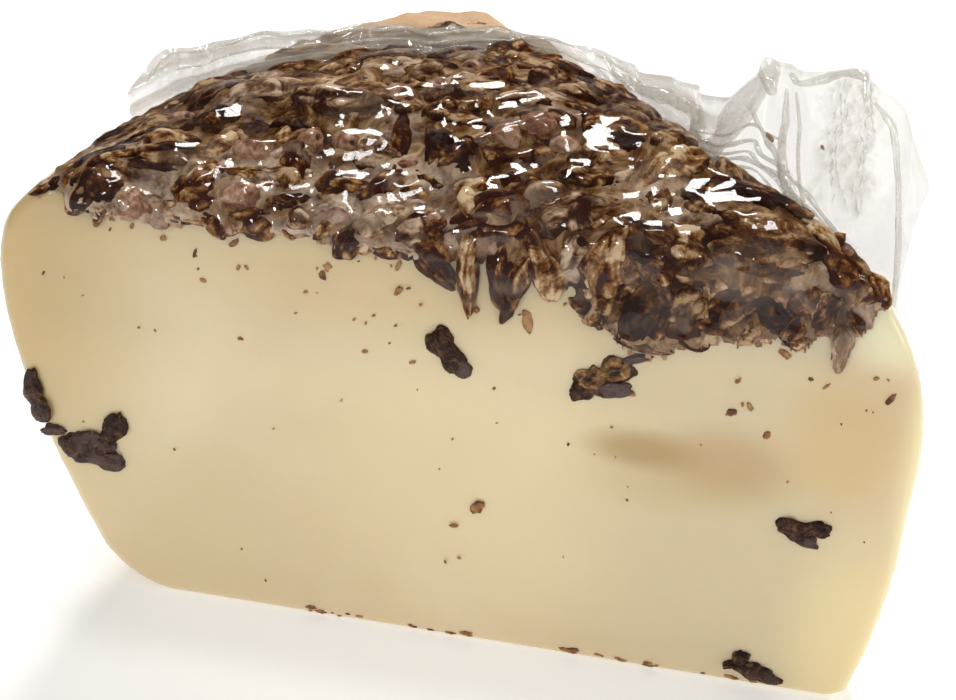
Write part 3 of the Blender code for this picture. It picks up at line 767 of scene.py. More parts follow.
dark_draw = np.random.default_rng(31)
dark_skins = Heap()
lay_skins(dark_skins, DARK_ON_TOP, dark_draw, False, (-0.35, 0.0))
lay_skins(dark_skins, DARK_HANGING, dark_draw, True, (-0.3, 0.1))
dark_finish = skin_finish("dark_skin", (
    (0.22, (0.018, 0.003, 0.001)),
    (0.45, (0.078, 0.022, 0.003)),
    (0.65, (0.210, 0.094, 0.027)),
    (0.88, (0.520, 0.345, 0.195)),
), (0.220, 0.138, 0.080))
dark_skins.piece("dark_grape_skins", dark_finish, "marc")


# Brown skins: the same skins where the colour has been pressed out of them, from chestnut to
# tan and rust, thinner and more wrinkled. They make up most of what lies between the dark ones.

BROWN_ON_TOP = (
    (-41.0, 5.2, 4.4, 3.4, 1.9, 70),
    (-28.0, 12.5, 3.4, 2.2, 1.7, 80),
    (-3.0, 35.5, 4.6, 2.9, 2.2, 5),
    (-4.0, 3.5, 2.8, 1.8, 1.4, -35),
    (4.6, 5.4, 6.2, 4.0, 2.0, 24),
    (38.5, 14.5, 5.6, 3.0, 1.6, -30),
    (52.0, 8.6, 4.2, 2.4, 1.8, -40),
    (34.0, 4.5, 5.0, 3.0, 1.8, -15),
    (55.5, 4.0, 4.0, 2.6, 2.0, -35),
    (61.4, 3.4, 2.6, 1.5, 1.3, -40),
    (14.0, 30.0, 5.4, 2.2, 1.5, -25),
    (-56.0, 9.0, 4.6, 1.8, 1.4, 40),
    (-34.0, 8.0, 4.6, 1.8, 1.2, -4),
    (-18.5, 8.5, 4.2, 1.6, 1.3, 4),
)
BROWN_HANGING = (
    (-45.4, 70.6, 5.0, 1.6, -8),
    (-40.2, 69.0, 2.2, 1.3, -50),
    (-34.6, 70.4, 4.2, 2.5, -4),
    (-12.0, 68.8, 2.6, 1.3, -8),
    (-4.6, 68.4, 5.6, 2.2, -47),
    (1.9, 67.0, 6.0, 1.8, 88),
    (7.0, 66.8, 4.8, 2.0, 100),
    (9.8, 66.4, 4.4, 1.8, 74),
    (13.8, 69.0, 5.4, 2.4, -60),
    (24.2, 71.2, 5.2, 3.6, 80),
    (52.4, 64.8, 2.4, 1.7, 70),
    (53.0, 62.8, 1.6, 1.2, 62),
    (46.4, 70.4, 3.8, 2.5, 42),
    (54.2, 69.0, 3.2, 2.4, 58),
    (61.6, 66.6, 2.0, 1.1, -62),
    (-22.6, 70.6, 2.0, 1.3, 60),
    (31.6, 70.6, 3.6, 2.2, -20),
)
brown_draw = np.random.default_rng(47)
brown_skins = Heap()
lay_skins(brown_skins, BROWN_ON_TOP, brown_draw, False, (-0.35, 0.15), ridges=5.0)
lay_skins(brown_skins, BROWN_HANGING, brown_draw, True, (-0.5, 0.0), ridges=5.0, ragged=0.12)
brown_finish = skin_finish("brown_skin", (
    (0.17, (0.036, 0.005, 0.001)),
    (0.37, (0.150, 0.048, 0.007)),
    (0.58, (0.350, 0.180, 0.062)),
    (0.86, (0.720, 0.530, 0.330)),
), (0.340, 0.240, 0.170))
brown_skins.piece("brown_grape_skins", brown_finish, "marc")


# Skins with bloom: broad skins pressed flat under the film, still with their waxy bloom, which
# shows as a dull grey violet.

BLOOMED_ON_TOP = (
    (-38.0, 33.0, 7.4, 5.0, 2.9, 15),
    (-25.0, 25.5, 7.6, 3.8, 2.8, 8),
    (15.5, 6.8, 6.4, 4.4, 2.3, 22),
    (-21.5, 44.5, 6.6, 3.4, 1.9, 10),
    (-11.6, 3.6, 4.2, 2.6, 1.6, 24),
    (-16.0, 16.5, 4.4, 3.2, 1.4, 0),
    (5.5, 33.5, 5.8, 3.4, 1.9, 20),
    (22.5, 16.5, 3.8, 2.2, 1.5, 35),
    (-29.0, 9.0, 5.0, 2.0, 1.1, -8),
    (46.0, 18.0, 4.6, 2.2, 1.4, -48),
)
BLOOMED_HANGING = (
    (-26.8, 71.6, 2.4, 1.8, -30),
    (-8.6, 71.0, 4.4, 3.0, 10),
    (18.0, 71.6, 3.6, 2.0, 65),
    (59.0, 62.6, 3.6, 1.5, 88),
    (29.0, 59.2, 4.4, 0.9, -6),
)
bloomed_draw = np.random.default_rng(59)
bloomed_skins = Heap()
lay_skins(bloomed_skins, BLOOMED_ON_TOP, bloomed_draw, False, fold=0.12, crumple=0.26)
lay_skins(bloomed_skins, BLOOMED_HANGING, bloomed_draw, True, fold=0.15, crumple=0.3)
bloomed_finish = skin_finish("bloomed_skin", (
    (0.22, (0.032, 0.006, 0.002)),
    (0.43, (0.130, 0.055, 0.020)),
    (0.62, (0.310, 0.190, 0.110)),
    (0.90, (0.680, 0.500, 0.350)),
), (0.360, 0.255, 0.180), (0.48, 0.64, 0.6), 0.36)
bloomed_skins.piece("bloomed_grape_skins", bloomed_finish, "marc")


# More whole skins: behind the listed ones the same three kinds lie scattered, about a
# centimetre apart, some brown, some dark and some bloomed.

SCATTER_STEP = 0.0092
SCATTER_SIZES = ((0.0042, 0.0070), (0.0028, 0.0042), (0.0017, 0.0026))
SCATTER_MARGIN = 0.0030
SCATTER_COVER = 0.0045
SCATTER_ALONG = 0.011                     # with less cover than this they lie along the rind
PLACED_BACK = 0.030                       # how far back the listed ones reach
PLACED_BACK_AT_TIP = 0.017
PLACED_TIP_FROM = 0.018
PLAN_WIDTH, PLAN_DEPTH = 0.15, 0.115
ROW_PITCH = 0.87                          # staggered rows lie closer than the places in them
scatter_draw = np.random.default_rng(67)
scattered = {"scattered_" + kind: Heap() for kind in ("dark_skins", "brown_skins", "bloomed_skins")}


def scattered_places(step, jitter, draw):
    """Plan places in staggered rows a step apart, each moved a little by chance."""
    for row in range(int(PLAN_DEPTH / (step * ROW_PITCH))):
        for column in range(int(PLAN_WIDTH / step)):
            x = -TIP_X + (column + 0.5 * (row % 2) + draw.uniform(-jitter, jitter)) * step
            yield x, (row + 0.3 + draw.uniform(-jitter, jitter)) * step * ROW_PITCH


for x, y in scattered_places(SCATTER_STEP, 0.3, scatter_draw):
    half = np.array([scatter_draw.uniform(*size) for size in SCATTER_SIZES])
    cover = float(marc_cover(x, y))
    if outside(x, y, EDGE_HEIGHT) > -SCATTER_MARGIN or cover < SCATTER_COVER:
        continue
    if y > BARE_FROM - 0.004 or y < (PLACED_BACK if x < PLACED_TIP_FROM else PLACED_BACK_AT_TIP):
        continue
    points, faces, tone = grape_skin(half, scatter_draw, MIDDLING)
    place, normal = on_top(x, y)
    kind = list(scattered)[scatter_draw.integers(3)]
    turn = scatter_draw.uniform(0, 180)
    if cover < SCATTER_ALONG:
        turn = 90 - math.degrees(math.atan2(y, TIP_X - x)) + 0.1 * (turn - 90)
    laid_points = laid(points, place, normal, turn)
    scattered[kind].add(laid_points, faces, tone + scatter_draw.uniform(-0.3, 0.15))
for name, finish in zip(scattered, (dark_finish, brown_finish, bloomed_finish)):
    scattered[name].piece(name, finish, "marc")


# Small pieces of skin: torn and shrivelled ones that fill the crust everywhere between the
# whole skins, over all of the top that the marc covers, and in the front where it is deepest.

FILL_STEP = 0.0070
FILL_SIZES = ((0.0022, 0.0052), (0.0014, 0.0028), (0.0010, 0.0017))
RIM_SIZES = ((0.0032, 0.0070), (0.0009, 0.0019), (0.0006, 0.0010))
RIM_ROWS = (-0.0018, -0.0002, 0.0016, 0.0036, 0.0056)    # how far in from the rind's edge
RIM_STEP = 0.0052
SHOULDER_STEP = 0.0046
SHOULDER_SINK = 0.0011
FRONT_STEP = (0.0042, 0.0036)
FRONT_SINK = 0.0007
FRONT_FROM, FRONT_TO = 0.0165, 0.0635
fill_draw = np.random.default_rng(73)
fill_skins = {"torn_brown_skins": Heap(), "torn_dark_skins": Heap()}


def torn_skin(place, normal, turn, sizes=FILL_SIZES, tilt=0.45):
    """Lays one small piece of skin, brown or dark by chance."""
    half = np.array([fill_draw.uniform(*size) for size in sizes])
    points, faces, tone = grape_skin(half, fill_draw, COARSE, 3.0, 0.15, 0.35, 0.08, 0.3)
    heap = fill_skins["torn_brown_skins" if fill_draw.uniform() < 0.52 else "torn_dark_skins"]
    lean = normal + Vector((fill_draw.uniform(-tilt, tilt), fill_draw.uniform(-tilt, tilt), 0))
    heap.add(laid(points, place, lean, turn), faces, tone + fill_draw.uniform(-0.4, 0.3))


def marc_covers(x, y):
    """Whether marc lies over a plan place, and not bare rind."""
    return bare_rind(np.array([x]), np.array([y]))[0] < 0.5


for x, y in scattered_places(FILL_STEP, 0.4, fill_draw):
    if outside(x, y, EDGE_HEIGHT) > -0.0014 or marc_cover(x, y) < 0.0070:
        continue
    if y < BARE_FROM and marc_covers(x, y):
        torn_skin(*on_top(x, y, fill_draw.uniform(-0.0008, 0.0003)), fill_draw.uniform(0, 180))
for inset in RIM_ROWS:
    reach = WHEEL_RADIUS - RIND_BULGE[2] - inset
    for way in np.arange(0.0060, BARE_FROM + 0.004, RIM_STEP):
        angle = (way + fill_draw.uniform(-0.0015, 0.0015)) / reach
        x, y = TIP_X - reach * math.cos(angle), reach * math.sin(angle)
        if marc_cover(x, y) > -0.0025 and marc_covers(x, y):
            turn = 90 - math.degrees(angle) + fill_draw.uniform(-9, 9)
            torn_skin(*on_top(x, y, fill_draw.uniform(-0.0002, 0.0003)), turn, RIM_SIZES, 0.06)
shoulder_ring = outline(np.linspace(-math.pi, math.pi, 1441), EDGE_HEIGHT * 0.985)
walked = 0.0
for near, far in zip(shoulder_ring[:-1], shoulder_ring[1:]):
    walked += float(np.hypot(*(far - near)[:2]))
    if walked < SHOULDER_STEP or marc_cover(*near[:2]) < 0.0020 or near[1] > BARE_FROM:
        continue
    walked = 0.0
    along = Vector(far - near).normalized()
    out = Vector((along.y, -along.x, fill_draw.uniform(0.3, 1.4))).normalized()
    torn_skin(near - np.array(out) * SHOULDER_SINK, out, fill_draw.uniform(0, 180))
for x in np.arange(FRONT_FROM, FRONT_TO, FRONT_STEP[0]):
    low = float(bed_height(np.array([x]), np.array([0.0]))[0])
    for z in np.arange(low + 0.0010, EDGE_HEIGHT, FRONT_STEP[1]):
        place = face_point(x + fill_draw.uniform(-0.001, 0.001), z + fill_draw.uniform(-0.001, 0.001))
        normal = side_normal(place)
        torn_skin(place - np.array(normal) * FRONT_SINK, normal, fill_draw.uniform(0, 180))
for name, finish in zip(fill_skins, (brown_finish, dark_finish)):
    fill_skins[name].piece(name, finish, "marc")


# Knobs: swollen pips and the ends of stalks, tan to rosy, many with the dark scar where the
# stalk or the berry broke away.

# Each: x, y, half length, half width, turn
KNOBS = (
    (-50.6, 2.6, 2.8, 2.4, 0),
    (-35.0, 12.6, 3.0, 1.9, 10),
    (-34.0, 4.4, 3.2, 2.4, 0),
    (-26.4, 16.2, 2.3, 2.0, 60),
    (-21.0, 17.0, 2.2, 1.8, 0),
    (-16.4, 31.0, 2.6, 3.0, 70),
    (-10.6, 35.0, 2.8, 2.3, 0),
    (-10.4, 14.8, 2.2, 1.9, 0),
    (3.2, 22.0, 2.3, 2.6, 80),
    (7.6, 24.8, 2.6, 2.9, 70),
    (12.4, 21.0, 2.4, 1.9, 0),
    (-4.0, 4.2, 1.8, 1.5, 0),
    (-52.5, 27.6, 2.4, 1.5, 40),
    (20.0, 28.5, 2.2, 1.6, 30),
    (-8.0, 46.0, 2.2, 1.8, 0),
    (19.2, 15.6, 1.9, 1.4, 0),
)
KNOB_HEIGHT = 0.0022
KNOB_LIFT = 0.0004
LOOSE_KNOBS = 7
LOOSE_KNOB_SIZE = (0.0013, 0.0021)
knob_draw = np.random.default_rng(83)
knobs = Heap()


def knob(half, draw):
    """A lopsided wrinkled knob with a scar, and how near each point is to the scar."""
    points, faces = ball(MIDDLING)
    scar = Vector((draw.uniform(-0.6, 0.6), draw.uniform(-0.8, -0.1), 0.7)).normalized()
    away = np.linalg.norm(points - np.array(scar), axis=1)
    reach = 1 - 0.30 * np.exp(-((away / 0.26) ** 2)) + 0.08 * np.exp(-(((away - 0.45) / 0.16) ** 2))
    soft = points + 0.2 * unevenness(points, 1.8, draw.integers(9999), 5)[:, None]
    reach = reach + 0.34 * creases(soft, 0.9, draw) + 0.16 * creases(soft, 0.34, draw)
    shaped = points * reach[:, None]
    shaped[:, 1] *= 1 + draw.uniform(-0.4, 0.4) * shaped[:, 0]
    return shaped * half, faces, np.exp(-((away / 0.30) ** 2)) * draw.choice((0.0, 0.4, 1.0))


knob_places = [(x / 1000, y / 1000, length / 1000, width / 1000, turn) for x, y, length, width, turn in KNOBS]
while len(knob_places) < len(KNOBS) + LOOSE_KNOBS:
    x, y = knob_draw.uniform(-TIP_X, TIP_X), knob_draw.uniform(0.0, BARE_FROM)
    if outside(x, y, EDGE_HEIGHT) < -0.003 and marc_cover(x, y) > 0.003 and (y > 0.030 or x > 0.020):
        size = knob_draw.uniform(*LOOSE_KNOB_SIZE)
        knob_places.append((x, y, size, size * knob_draw.uniform(0.6, 0.9), knob_draw.uniform(0, 180)))
for x, y, length, width, turn in knob_places:
    place, normal = on_top(x, y, KNOB_LIFT)
    half = np.array([length, width, min(KNOB_HEIGHT, 0.95 * min(length, width))])
    points, faces, scar = knob(half, knob_draw)
    knobs.add(laid(points, place, normal, turn + knob_draw.uniform(-15, 15)), faces, scar)


def knob_finish():
    """Rosy to tan and waxy, with a dark scar where the value on it says."""
    mat, tree, shader = new_finish("rosy_knob")
    colour = ramp(tree, cloudy(tree, 0.0026, 6.0, 0.65, 1.0), (
        (0.32, (0.080, 0.024, 0.012)),
        (0.45, (0.240, 0.105, 0.058)),
        (0.56, (0.440, 0.250, 0.155)),
        (0.70, (0.660, 0.470, 0.350)),
    ))
    scar = spread(tree, value_on(tree), 0.25, 0.75)
    fill_in(tree, shader, {
        "Base Color": blend_colours(tree, scar, colour, (0.030, 0.011, 0.007)),
        "Subsurface Weight": 0.15,
        "Subsurface Radius": (1.0, 0.4, 0.2),
        "Subsurface Scale": 0.001,
        "Specular IOR Level": 0.2,
        "Roughness": 0.38,
        "Normal": relief_of(tree, cloudy(tree, 0.0008), 0.00015),
    })
    return mat


knobs.piece("knobs_and_pips", knob_finish(), "marc")


# Cream: soft cheese and fat that the marc has taken up, smeared pale and smooth between the
# skins, most of it at the crust's edge over the cut face.

# Each: x, y on the top, half length, half width, turn
CREAM_ON_TOP = (
    (-46.4, 2.6, 2.6, 2.4, 20),
    (-53.4, 3.2, 2.0, 1.4, 0),
    (-19.5, 5.0, 4.8, 2.2, 8),
    (-10.6, 7.2, 5.6, 1.8, 2),
    (-38.0, 9.5, 3.0, 1.4, -10),
    (31.0, 8.5, 3.0, 1.4, -20),
    (-14.0, 24.0, 3.0, 2.0, 30),
    (-44.5, 28.5, 2.4, 2.0, 0),
    (-31.0, 13.0, 2.6, 1.4, 60),
)
# Each: x, z on the cut face, half length, half width, lean
CREAM_ON_FACE = (
    (-55.0, 71.4, 3.6, 1.5, -8),
    (-26.5, 70.9, 4.0, 1.8, -6),
    (-21.4, 71.9, 3.4, 1.9, -10),
    (-9.6, 70.6, 2.2, 1.6, 40),
    (-1.4, 71.2, 2.0, 1.8, 60),
    (5.4, 71.2, 2.4, 1.8, 10),
    (17.6, 69.0, 2.4, 2.2, 60),
    (33.0, 72.2, 4.0, 2.0, -8),
    (53.4, 71.9, 2.2, 1.3, -12),
    (63.4, 69.0, 3.0, 1.6, -62),
)
CREAM_THICK = 0.0012
CREAM_SINK = 0.0005
cream_draw = np.random.default_rng(97)
cream = Heap()


def smear(half, draw):
    """A soft flat pad with an uneven edge, and how near each point is to that edge."""
    points, faces = ball(MIDDLING)
    edge = np.arctan2(points[:, 1], points[:, 0])
    lobes = sum(np.sin(k * edge + draw.uniform(0, 6)) / k**0.6 for k in (2, 3, 5, 8))
    reach = 1 + 0.25 * creases(points, 0.8, draw) + 0.12 * creases(points, 0.3, draw)
    shaped = points * reach[:, None]
    shaped[:, :2] *= (1 + 0.2 * lobes)[:, None]
    return shaped * half, faces, np.hypot(points[:, 0], points[:, 1]) ** 2


for x, y, length, width, turn in CREAM_ON_TOP:
    place, normal = on_top(x / 1000, y / 1000, -CREAM_SINK)
    points, faces, rim = smear(np.array([length / 1000, width / 1000, CREAM_THICK]), cream_draw)
    cream.add(laid(points, place, normal, turn), faces, rim)
for x, z, length, width, lean in CREAM_ON_FACE:
    place = face_point(x / 1000, z / 1000)
    points, faces, rim = smear(np.array([length / 1000, width / 1000, CREAM_THICK * 0.8]), cream_draw)
    cream.add(laid(points, place, side_normal(place), lean), faces, rim)


def cream_finish():
    """Pale and soft, stained by the marc towards its rim."""
    mat, tree, shader = new_finish("smeared_cream")
    blots = cloudy(tree, 0.0028, 6.0, 0.65, 1.0)
    colour = ramp(tree, reckon(tree, "MULTIPLY_ADD", value_on(tree), -0.16, blots), (
        (0.28, (0.110, 0.052, 0.032)),
        (0.38, (0.300, 0.180, 0.125)),
        (0.50, (0.480, 0.330, 0.245)),
        (0.66, (0.620, 0.480, 0.370)),
    ))
    fill_in(tree, shader, {
        "Base Color": colour,
        "Subsurface Weight": 0.25,
        "Subsurface Radius": (1.0, 0.5, 0.25),
        "Subsurface Scale": 0.002,
        "Specular IOR Level": 0.2,
        "Roughness": 0.42,
        "Normal": relief_of(tree, cloudy(tree, 0.0012), 0.0001),
    })
    return mat


cream.piece("cream_in_marc", cream_finish(), "paste")
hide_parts("crust")


# Skins in the cut face: six grape skins that the wire cut through or dragged along, each a few
# crumpled lobes lying flat in the paste, with a violet haze where its juice has spread.

CUT_SKIN_DEPTH = 0.0008
GOLDEN_SKIN = "marc_skin_2"               # its pressed lobes let light through

# Each lobe: x, z on the cut face, half length, half width, lean, haze
CUT_SKINS = {
    "marc_skin_1": (
        (-1.7, 55.0, 2.5, 2.1, -40, 0.1),
        (0.0, 53.2, 3.4, 2.1, -58, 0.3),
        (1.9, 51.2, 1.7, 1.3, -40, 0.9),
    ),
    "marc_skin_2": (
        (25.4, 54.4, 3.2, 2.2, 38, 0.2),
        (21.8, 52.4, 2.9, 2.3, 30, 0.1),
        (20.2, 50.2, 2.0, 1.6, 60, 0.4),
        (24.8, 51.2, 3.4, 1.5, 12, 1.0),
        (28.6, 56.8, 2.4, 0.8, 20, 1.0),
    ),
    "marc_skin_3": (
        (-60.6, 27.2, 4.6, 3.2, 12, 0.7),
        (-56.2, 31.2, 3.3, 1.9, 58, 0.4),
        (-58.2, 25.2, 3.4, 1.9, -8, 0.9),
        (-54.9, 33.6, 1.2, 0.8, 80, 0.3),
    ),
    "marc_skin_4": (
        (54.0, 31.4, 2.7, 1.8, -6, 0.2),
        (57.0, 32.0, 2.5, 1.2, 8, 0.3),
        (55.4, 29.6, 2.6, 0.9, -14, 0.8),
    ),
    "marc_skin_5": (
        (48.4, 5.2, 1.7, 1.2, 70, 0.2),
        (50.2, 3.4, 3.2, 1.7, -14, 0.5),
        (53.2, 2.3, 2.3, 1.0, -18, 0.6),
        (46.8, 3.8, 1.1, 0.7, 40, 0.2),
    ),
    "marc_skin_6": (
        (-69.9, 37.2, 3.6, 1.9, 78, 0.3),
        (-69.2, 33.0, 3.2, 1.8, 66, 0.4),
        (-66.6, 29.6, 2.0, 1.1, 10, 0.7),
    ),
}


def cut_skin_finish():
    """Nearly black, golden where the value on it is above 0 and hazed violet where it is below."""
    mat, tree, shader = new_finish("skin_in_paste")
    tone = value_on(tree)
    haze = spread(tree, tone, 0.0, -1.0)
    golden = spread(tree, tone, 0.15, 0.85, 0.0, 0.30)
    colour = ramp(tree, reckon(tree, "ADD", cloudy(tree, 0.0016, 6.0, 0.7, 1.0), golden), (
        (0.40, (0.012, 0.003, 0.002)),
        (0.52, (0.045, 0.016, 0.008)),
        (0.68, (0.200, 0.100, 0.035)),
        (0.85, (0.460, 0.280, 0.110)),
    ))
    patch = spread(tree, cloudy(tree, 0.0030, 4.0, 0.55, 0.5, (5, 2, 1)), 0.32, 0.58)
    share = spread(tree, reckon(tree, "MULTIPLY", patch, haze), 0.25, 1.0)
    fill_in(tree, shader, {
        "Base Color": blend_colours(tree, share, colour, (0.120, 0.078, 0.074)),
        "Specular IOR Level": 0.15,
        "Coat Weight": 0.12,
        "Coat Roughness": 0.10,
        "Roughness": 0.5,
        "Normal": relief_of(tree, cloudy(tree, 0.0007, 5.0, 0.65), 0.0003),
    })
    return mat


cut_finish = cut_skin_finish()
cut_draw = np.random.default_rng(101)
for node, lobes in CUT_SKINS.items():
    skin = Heap()
    for x, z, length, width, lean, haze in lobes:
        place = face_point(x / 1000, z / 1000)
        half = np.array([length / 1000, width / 1000, CUT_SKIN_DEPTH])
        points, faces, tone = grape_skin(half, cut_draw, MIDDLING, 5.0, 0.2, 0.45, 0.14, 0.0)
        golden = node == GOLDEN_SKIN and haze < 0.3
        skin.add(laid(points, place, side_normal(place), lean), faces, tone - 0.1 if golden else -haze)
    flake = skin.piece(node + "_flake", cut_finish, "pressed_skin")
    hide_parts(node)


# Flecks: crumbs of marc that the wire has dragged over the cut face, thickest below the crust
# and towards the tip, and a few that lie along the base.

# Each: x, z, half length, half width, lean
LARGE_FLECKS = (
    (4.8, 26.8, 1.3, 1.0, 50),
    (0.9, 22.6, 0.7, 0.4, 10),
    (-48.6, 66.2, 0.6, 0.5, 0),
    (-42.8, 64.6, 0.8, 0.25, 70),
    (-20.8, 65.0, 0.8, 0.7, 60),
    (-9.8, 68.0, 0.6, 0.6, 0),
    (-9.0, 62.6, 0.8, 0.5, 60),
    (-21.4, 63.6, 0.7, 0.8, 20),
    (3.6, 61.2, 0.5, 0.5, 0),
    (11.6, 60.4, 1.9, 0.8, -75),
    (27.6, 51.0, 0.9, 0.5, -20),
    (43.0, 50.0, 0.9, 0.6, 20),
    (45.6, 51.4, 0.8, 0.4, -60),
    (50.5, 60.6, 0.9, 0.5, -20),
    (48.4, 47.0, 0.7, 0.5, 70),
    (-13.6, 52.0, 0.5, 0.3, 0),
    (-6.0, 51.2, 0.6, 0.3, 30),
    (66.0, 55.6, 1.1, 0.4, 60),
    (43.6, 55.2, 0.45, 0.30, 20),
    (54.4, 57.1, 0.40, 0.30, 0),
    (56.7, 56.3, 0.70, 0.22, 50),
    (48.9, 63.5, 0.50, 0.30, 10),
    (63.9, 58.5, 0.45, 0.30, 40),
    (-40.6, 60.3, 0.50, 0.35, -20),
    (-36.8, 66.9, 0.90, 0.45, 35),
    (-35.2, 63.1, 0.50, 0.30, 60),
    (-33.9, 63.3, 0.45, 0.30, -50),
    (-23.7, 60.6, 0.50, 0.30, 30),
    (-9.5, 66.5, 0.90, 0.40, 70),
    (-54.4, 67.5, 0.50, 0.30, 70),
    (-67.3, 58.1, 0.40, 0.20, 60),
    (-62.0, 72.0, 0.90, 0.50, 45),
)
SMALL_FLECKS, SMALL_FLECK_SIZE = 80, (0.00008, 0.00026)
BASE_FLECKS, BASE_FLECK_SIZE = 34, (0.0001, 0.0004)
FLECK_THICK = 0.00018
FACE_END, FACE_TOP = 0.066, 0.070         # as far as the small ones reach
fleck_draw = np.random.default_rng(113)
fleck_rows = [tuple(value / 1000 for value in row[:4]) + (row[4],) for row in LARGE_FLECKS]
while len(fleck_rows) < len(LARGE_FLECKS) + SMALL_FLECKS:
    x, z = fleck_draw.uniform(-FACE_END, FACE_END), fleck_draw.uniform(0.004, FACE_TOP)
    near_crust, near_tip = math.exp(-(FACE_TOP - z) / 0.016), math.exp(-(FACE_END - x) / 0.014) * (z > 0.03)
    if fleck_draw.uniform() < near_crust + 0.05 + 0.5 * near_tip:
        size = fleck_draw.uniform(*SMALL_FLECK_SIZE)
        fleck_rows.append((x, z, size * fleck_draw.uniform(1, 2.4), size, fleck_draw.uniform(0, 180)))
for _ in range(BASE_FLECKS):
    x = fleck_draw.uniform(-0.030, 0.058)
    size = fleck_draw.uniform(*BASE_FLECK_SIZE)
    z = fleck_draw.uniform(0.0005, 0.0016)
    fleck_rows.append((x, z, size * 2.8, size, fleck_draw.uniform(-12, 12)))
flecks = Heap()
for x, z, length, width, lean in fleck_rows:
    place = face_point(x, z)
    points, faces = ball(COARSE - 1)
    reach = 1 + 1.2 * creases(points, 0.7, fleck_draw, 4)
    half = np.array([length, width, FLECK_THICK])
    flat = laid(points * reach[:, None] * half, place, side_normal(place), lean)
    flecks.add(flat, faces, fleck_draw.uniform(-0.02, 0.16))


def fleck_finish():
    """Rust to tan, each fleck a little lighter or darker."""
    mat, tree, shader = new_finish("rust_fleck")
    colour = ramp(tree, reckon(tree, "ADD", cloudy(tree, 0.0016), value_on(tree)), (
        (0.40, (0.090, 0.022, 0.005)),
        (0.52, (0.240, 0.094, 0.022)),
        (0.68, (0.440, 0.240, 0.080)),
    ))
    fill_in(tree, shader, {"Base Color": colour, "Roughness": 0.5})
    return mat


flecks.piece("marc_flecks", fleck_finish(), "pressed_skin")


# The pulp: juice, mashed flesh and crumbs of skin that fill the hollows between the skins, wet
# and smooth, so that only the skins' backs stand out. Towards the paste it turns to cream.

DRAPE_TILT = math.radians(55)             # heights are measured along a line this far above level
DRAPE_STEP = 0.00045
DRAPE_LOW = 0.044
PULP_BLUR = 0.0017
PULP_SINK = -0.00012                      # how far it lies below the skins' mean height
PULP_FACE_SINK = 0.0011                   # the same over the cut face
PULP_EDGE = 0.0008                        # how deep it lies under the skins at its border
PULP_FROM = 0.35                          # share of marc around a spot from which there is pulp
PULP_ROUGH = 0.00022
SINGLY_BELOW = 0.0045                     # this far below the edge there is bare paste between skins
FROM_ABOVE = 0.2                          # where the search for the surface starts
# Where it is milky on the top: x, y, half length, half width in millimetres, strength
MILKY = (
    (-47.0, 3.0, 8.0, 4.5, 1.0),
    (-54.0, 14.0, 8.0, 5.0, 0.6),
    (-31.0, 9.0, 13.0, 5.0, 0.7),
    (-17.0, 6.0, 9.0, 4.0, 0.9),
    (-9.5, 13.0, 9.0, 4.0, 0.9),
    (-44.5, 29.0, 5.0, 3.5, 0.6),
    (-14.0, 24.0, 5.0, 3.0, 0.6),
    (6.0, 27.5, 8.0, 3.5, 0.5),
    (27.0, 14.0, 6.0, 3.5, 0.8),
    (32.0, 8.5, 6.0, 2.5, 0.7),
    (1.0, 4.5, 7.0, 3.0, 0.6),
    (52.0, 3.0, 5.0, 2.5, 0.5),
)
DRAPED = ("paste_wedge", "marc_core", "dark_grape_skins", "brown_grape_skins", "bloomed_grape_skins",
          *scattered, *fill_skins, "knobs_and_pips", "cream_in_marc")


def covered_tree(objects):
    """One search tree over the pieces, in the wedge's own frame, and the first one's faces."""
    points, faces, start, first = [], [], 0, 0
    for obj in objects:
        mesh = obj.data
        mesh.calc_loop_triangles()
        co = np.empty(len(mesh.vertices) * 3, dtype=np.float32)
        mesh.vertices.foreach_get("co", co)
        tris = np.empty(len(mesh.loop_triangles) * 3, dtype=np.int32)
        mesh.loop_triangles.foreach_get("vertices", tris)
        points.append(co.reshape(-1, 3) - HOME)
        faces.append(tris.reshape(-1, 3) + start)
        start += len(mesh.vertices)
        first = first or len(mesh.loop_triangles)
    return BVHTree.FromPolygons(np.concatenate(points).tolist(), np.concatenate(faces).tolist()), first


def blurred(field, reach, step):
    """A field smoothed by a bell curve of the given reach."""
    cells = int(3 * reach / step)
    weights = np.exp(-0.5 * (np.arange(-cells, cells + 1) * step / reach) ** 2)
    weights /= weights.sum()
    for axis in (0, 1):
        wide = np.pad(field, [(cells, cells) if axis == way else (0, 0) for way in (0, 1)], mode="edge")
        length = field.shape[axis]
        field = sum(weight * np.take(wide, range(k, k + length), axis) for k, weight in enumerate(weights))
    return field


def on_grid(height):
    """The places over the grid at their heights."""
    return grid_x[..., None] * side_line + grid_v[..., None] * back_line + height[..., None] * up_line


def draped(height, keep, jump_most=0.004):
    """Points of a sheet over the grid of heights, and its quads between the kept cells."""
    corners = [height[:-1, :-1], height[1:, :-1], height[:-1, 1:], height[1:, 1:]]
    jump = np.maximum.reduce(corners) - np.minimum.reduce(corners)
    quads = keep[:-1, :-1] & keep[1:, :-1] & keep[:-1, 1:] & keep[1:, 1:] & (jump < jump_most)
    row, column = np.nonzero(quads)
    wide = height.shape[1]
    corner = row * wide + column
    faces = np.stack([corner, corner + 1, corner + wide + 1, corner + wide], axis=1)
    used, faces = np.unique(faces, return_inverse=True)
    return on_grid(height).reshape(-1, 3), used, faces.reshape(-1, 4)


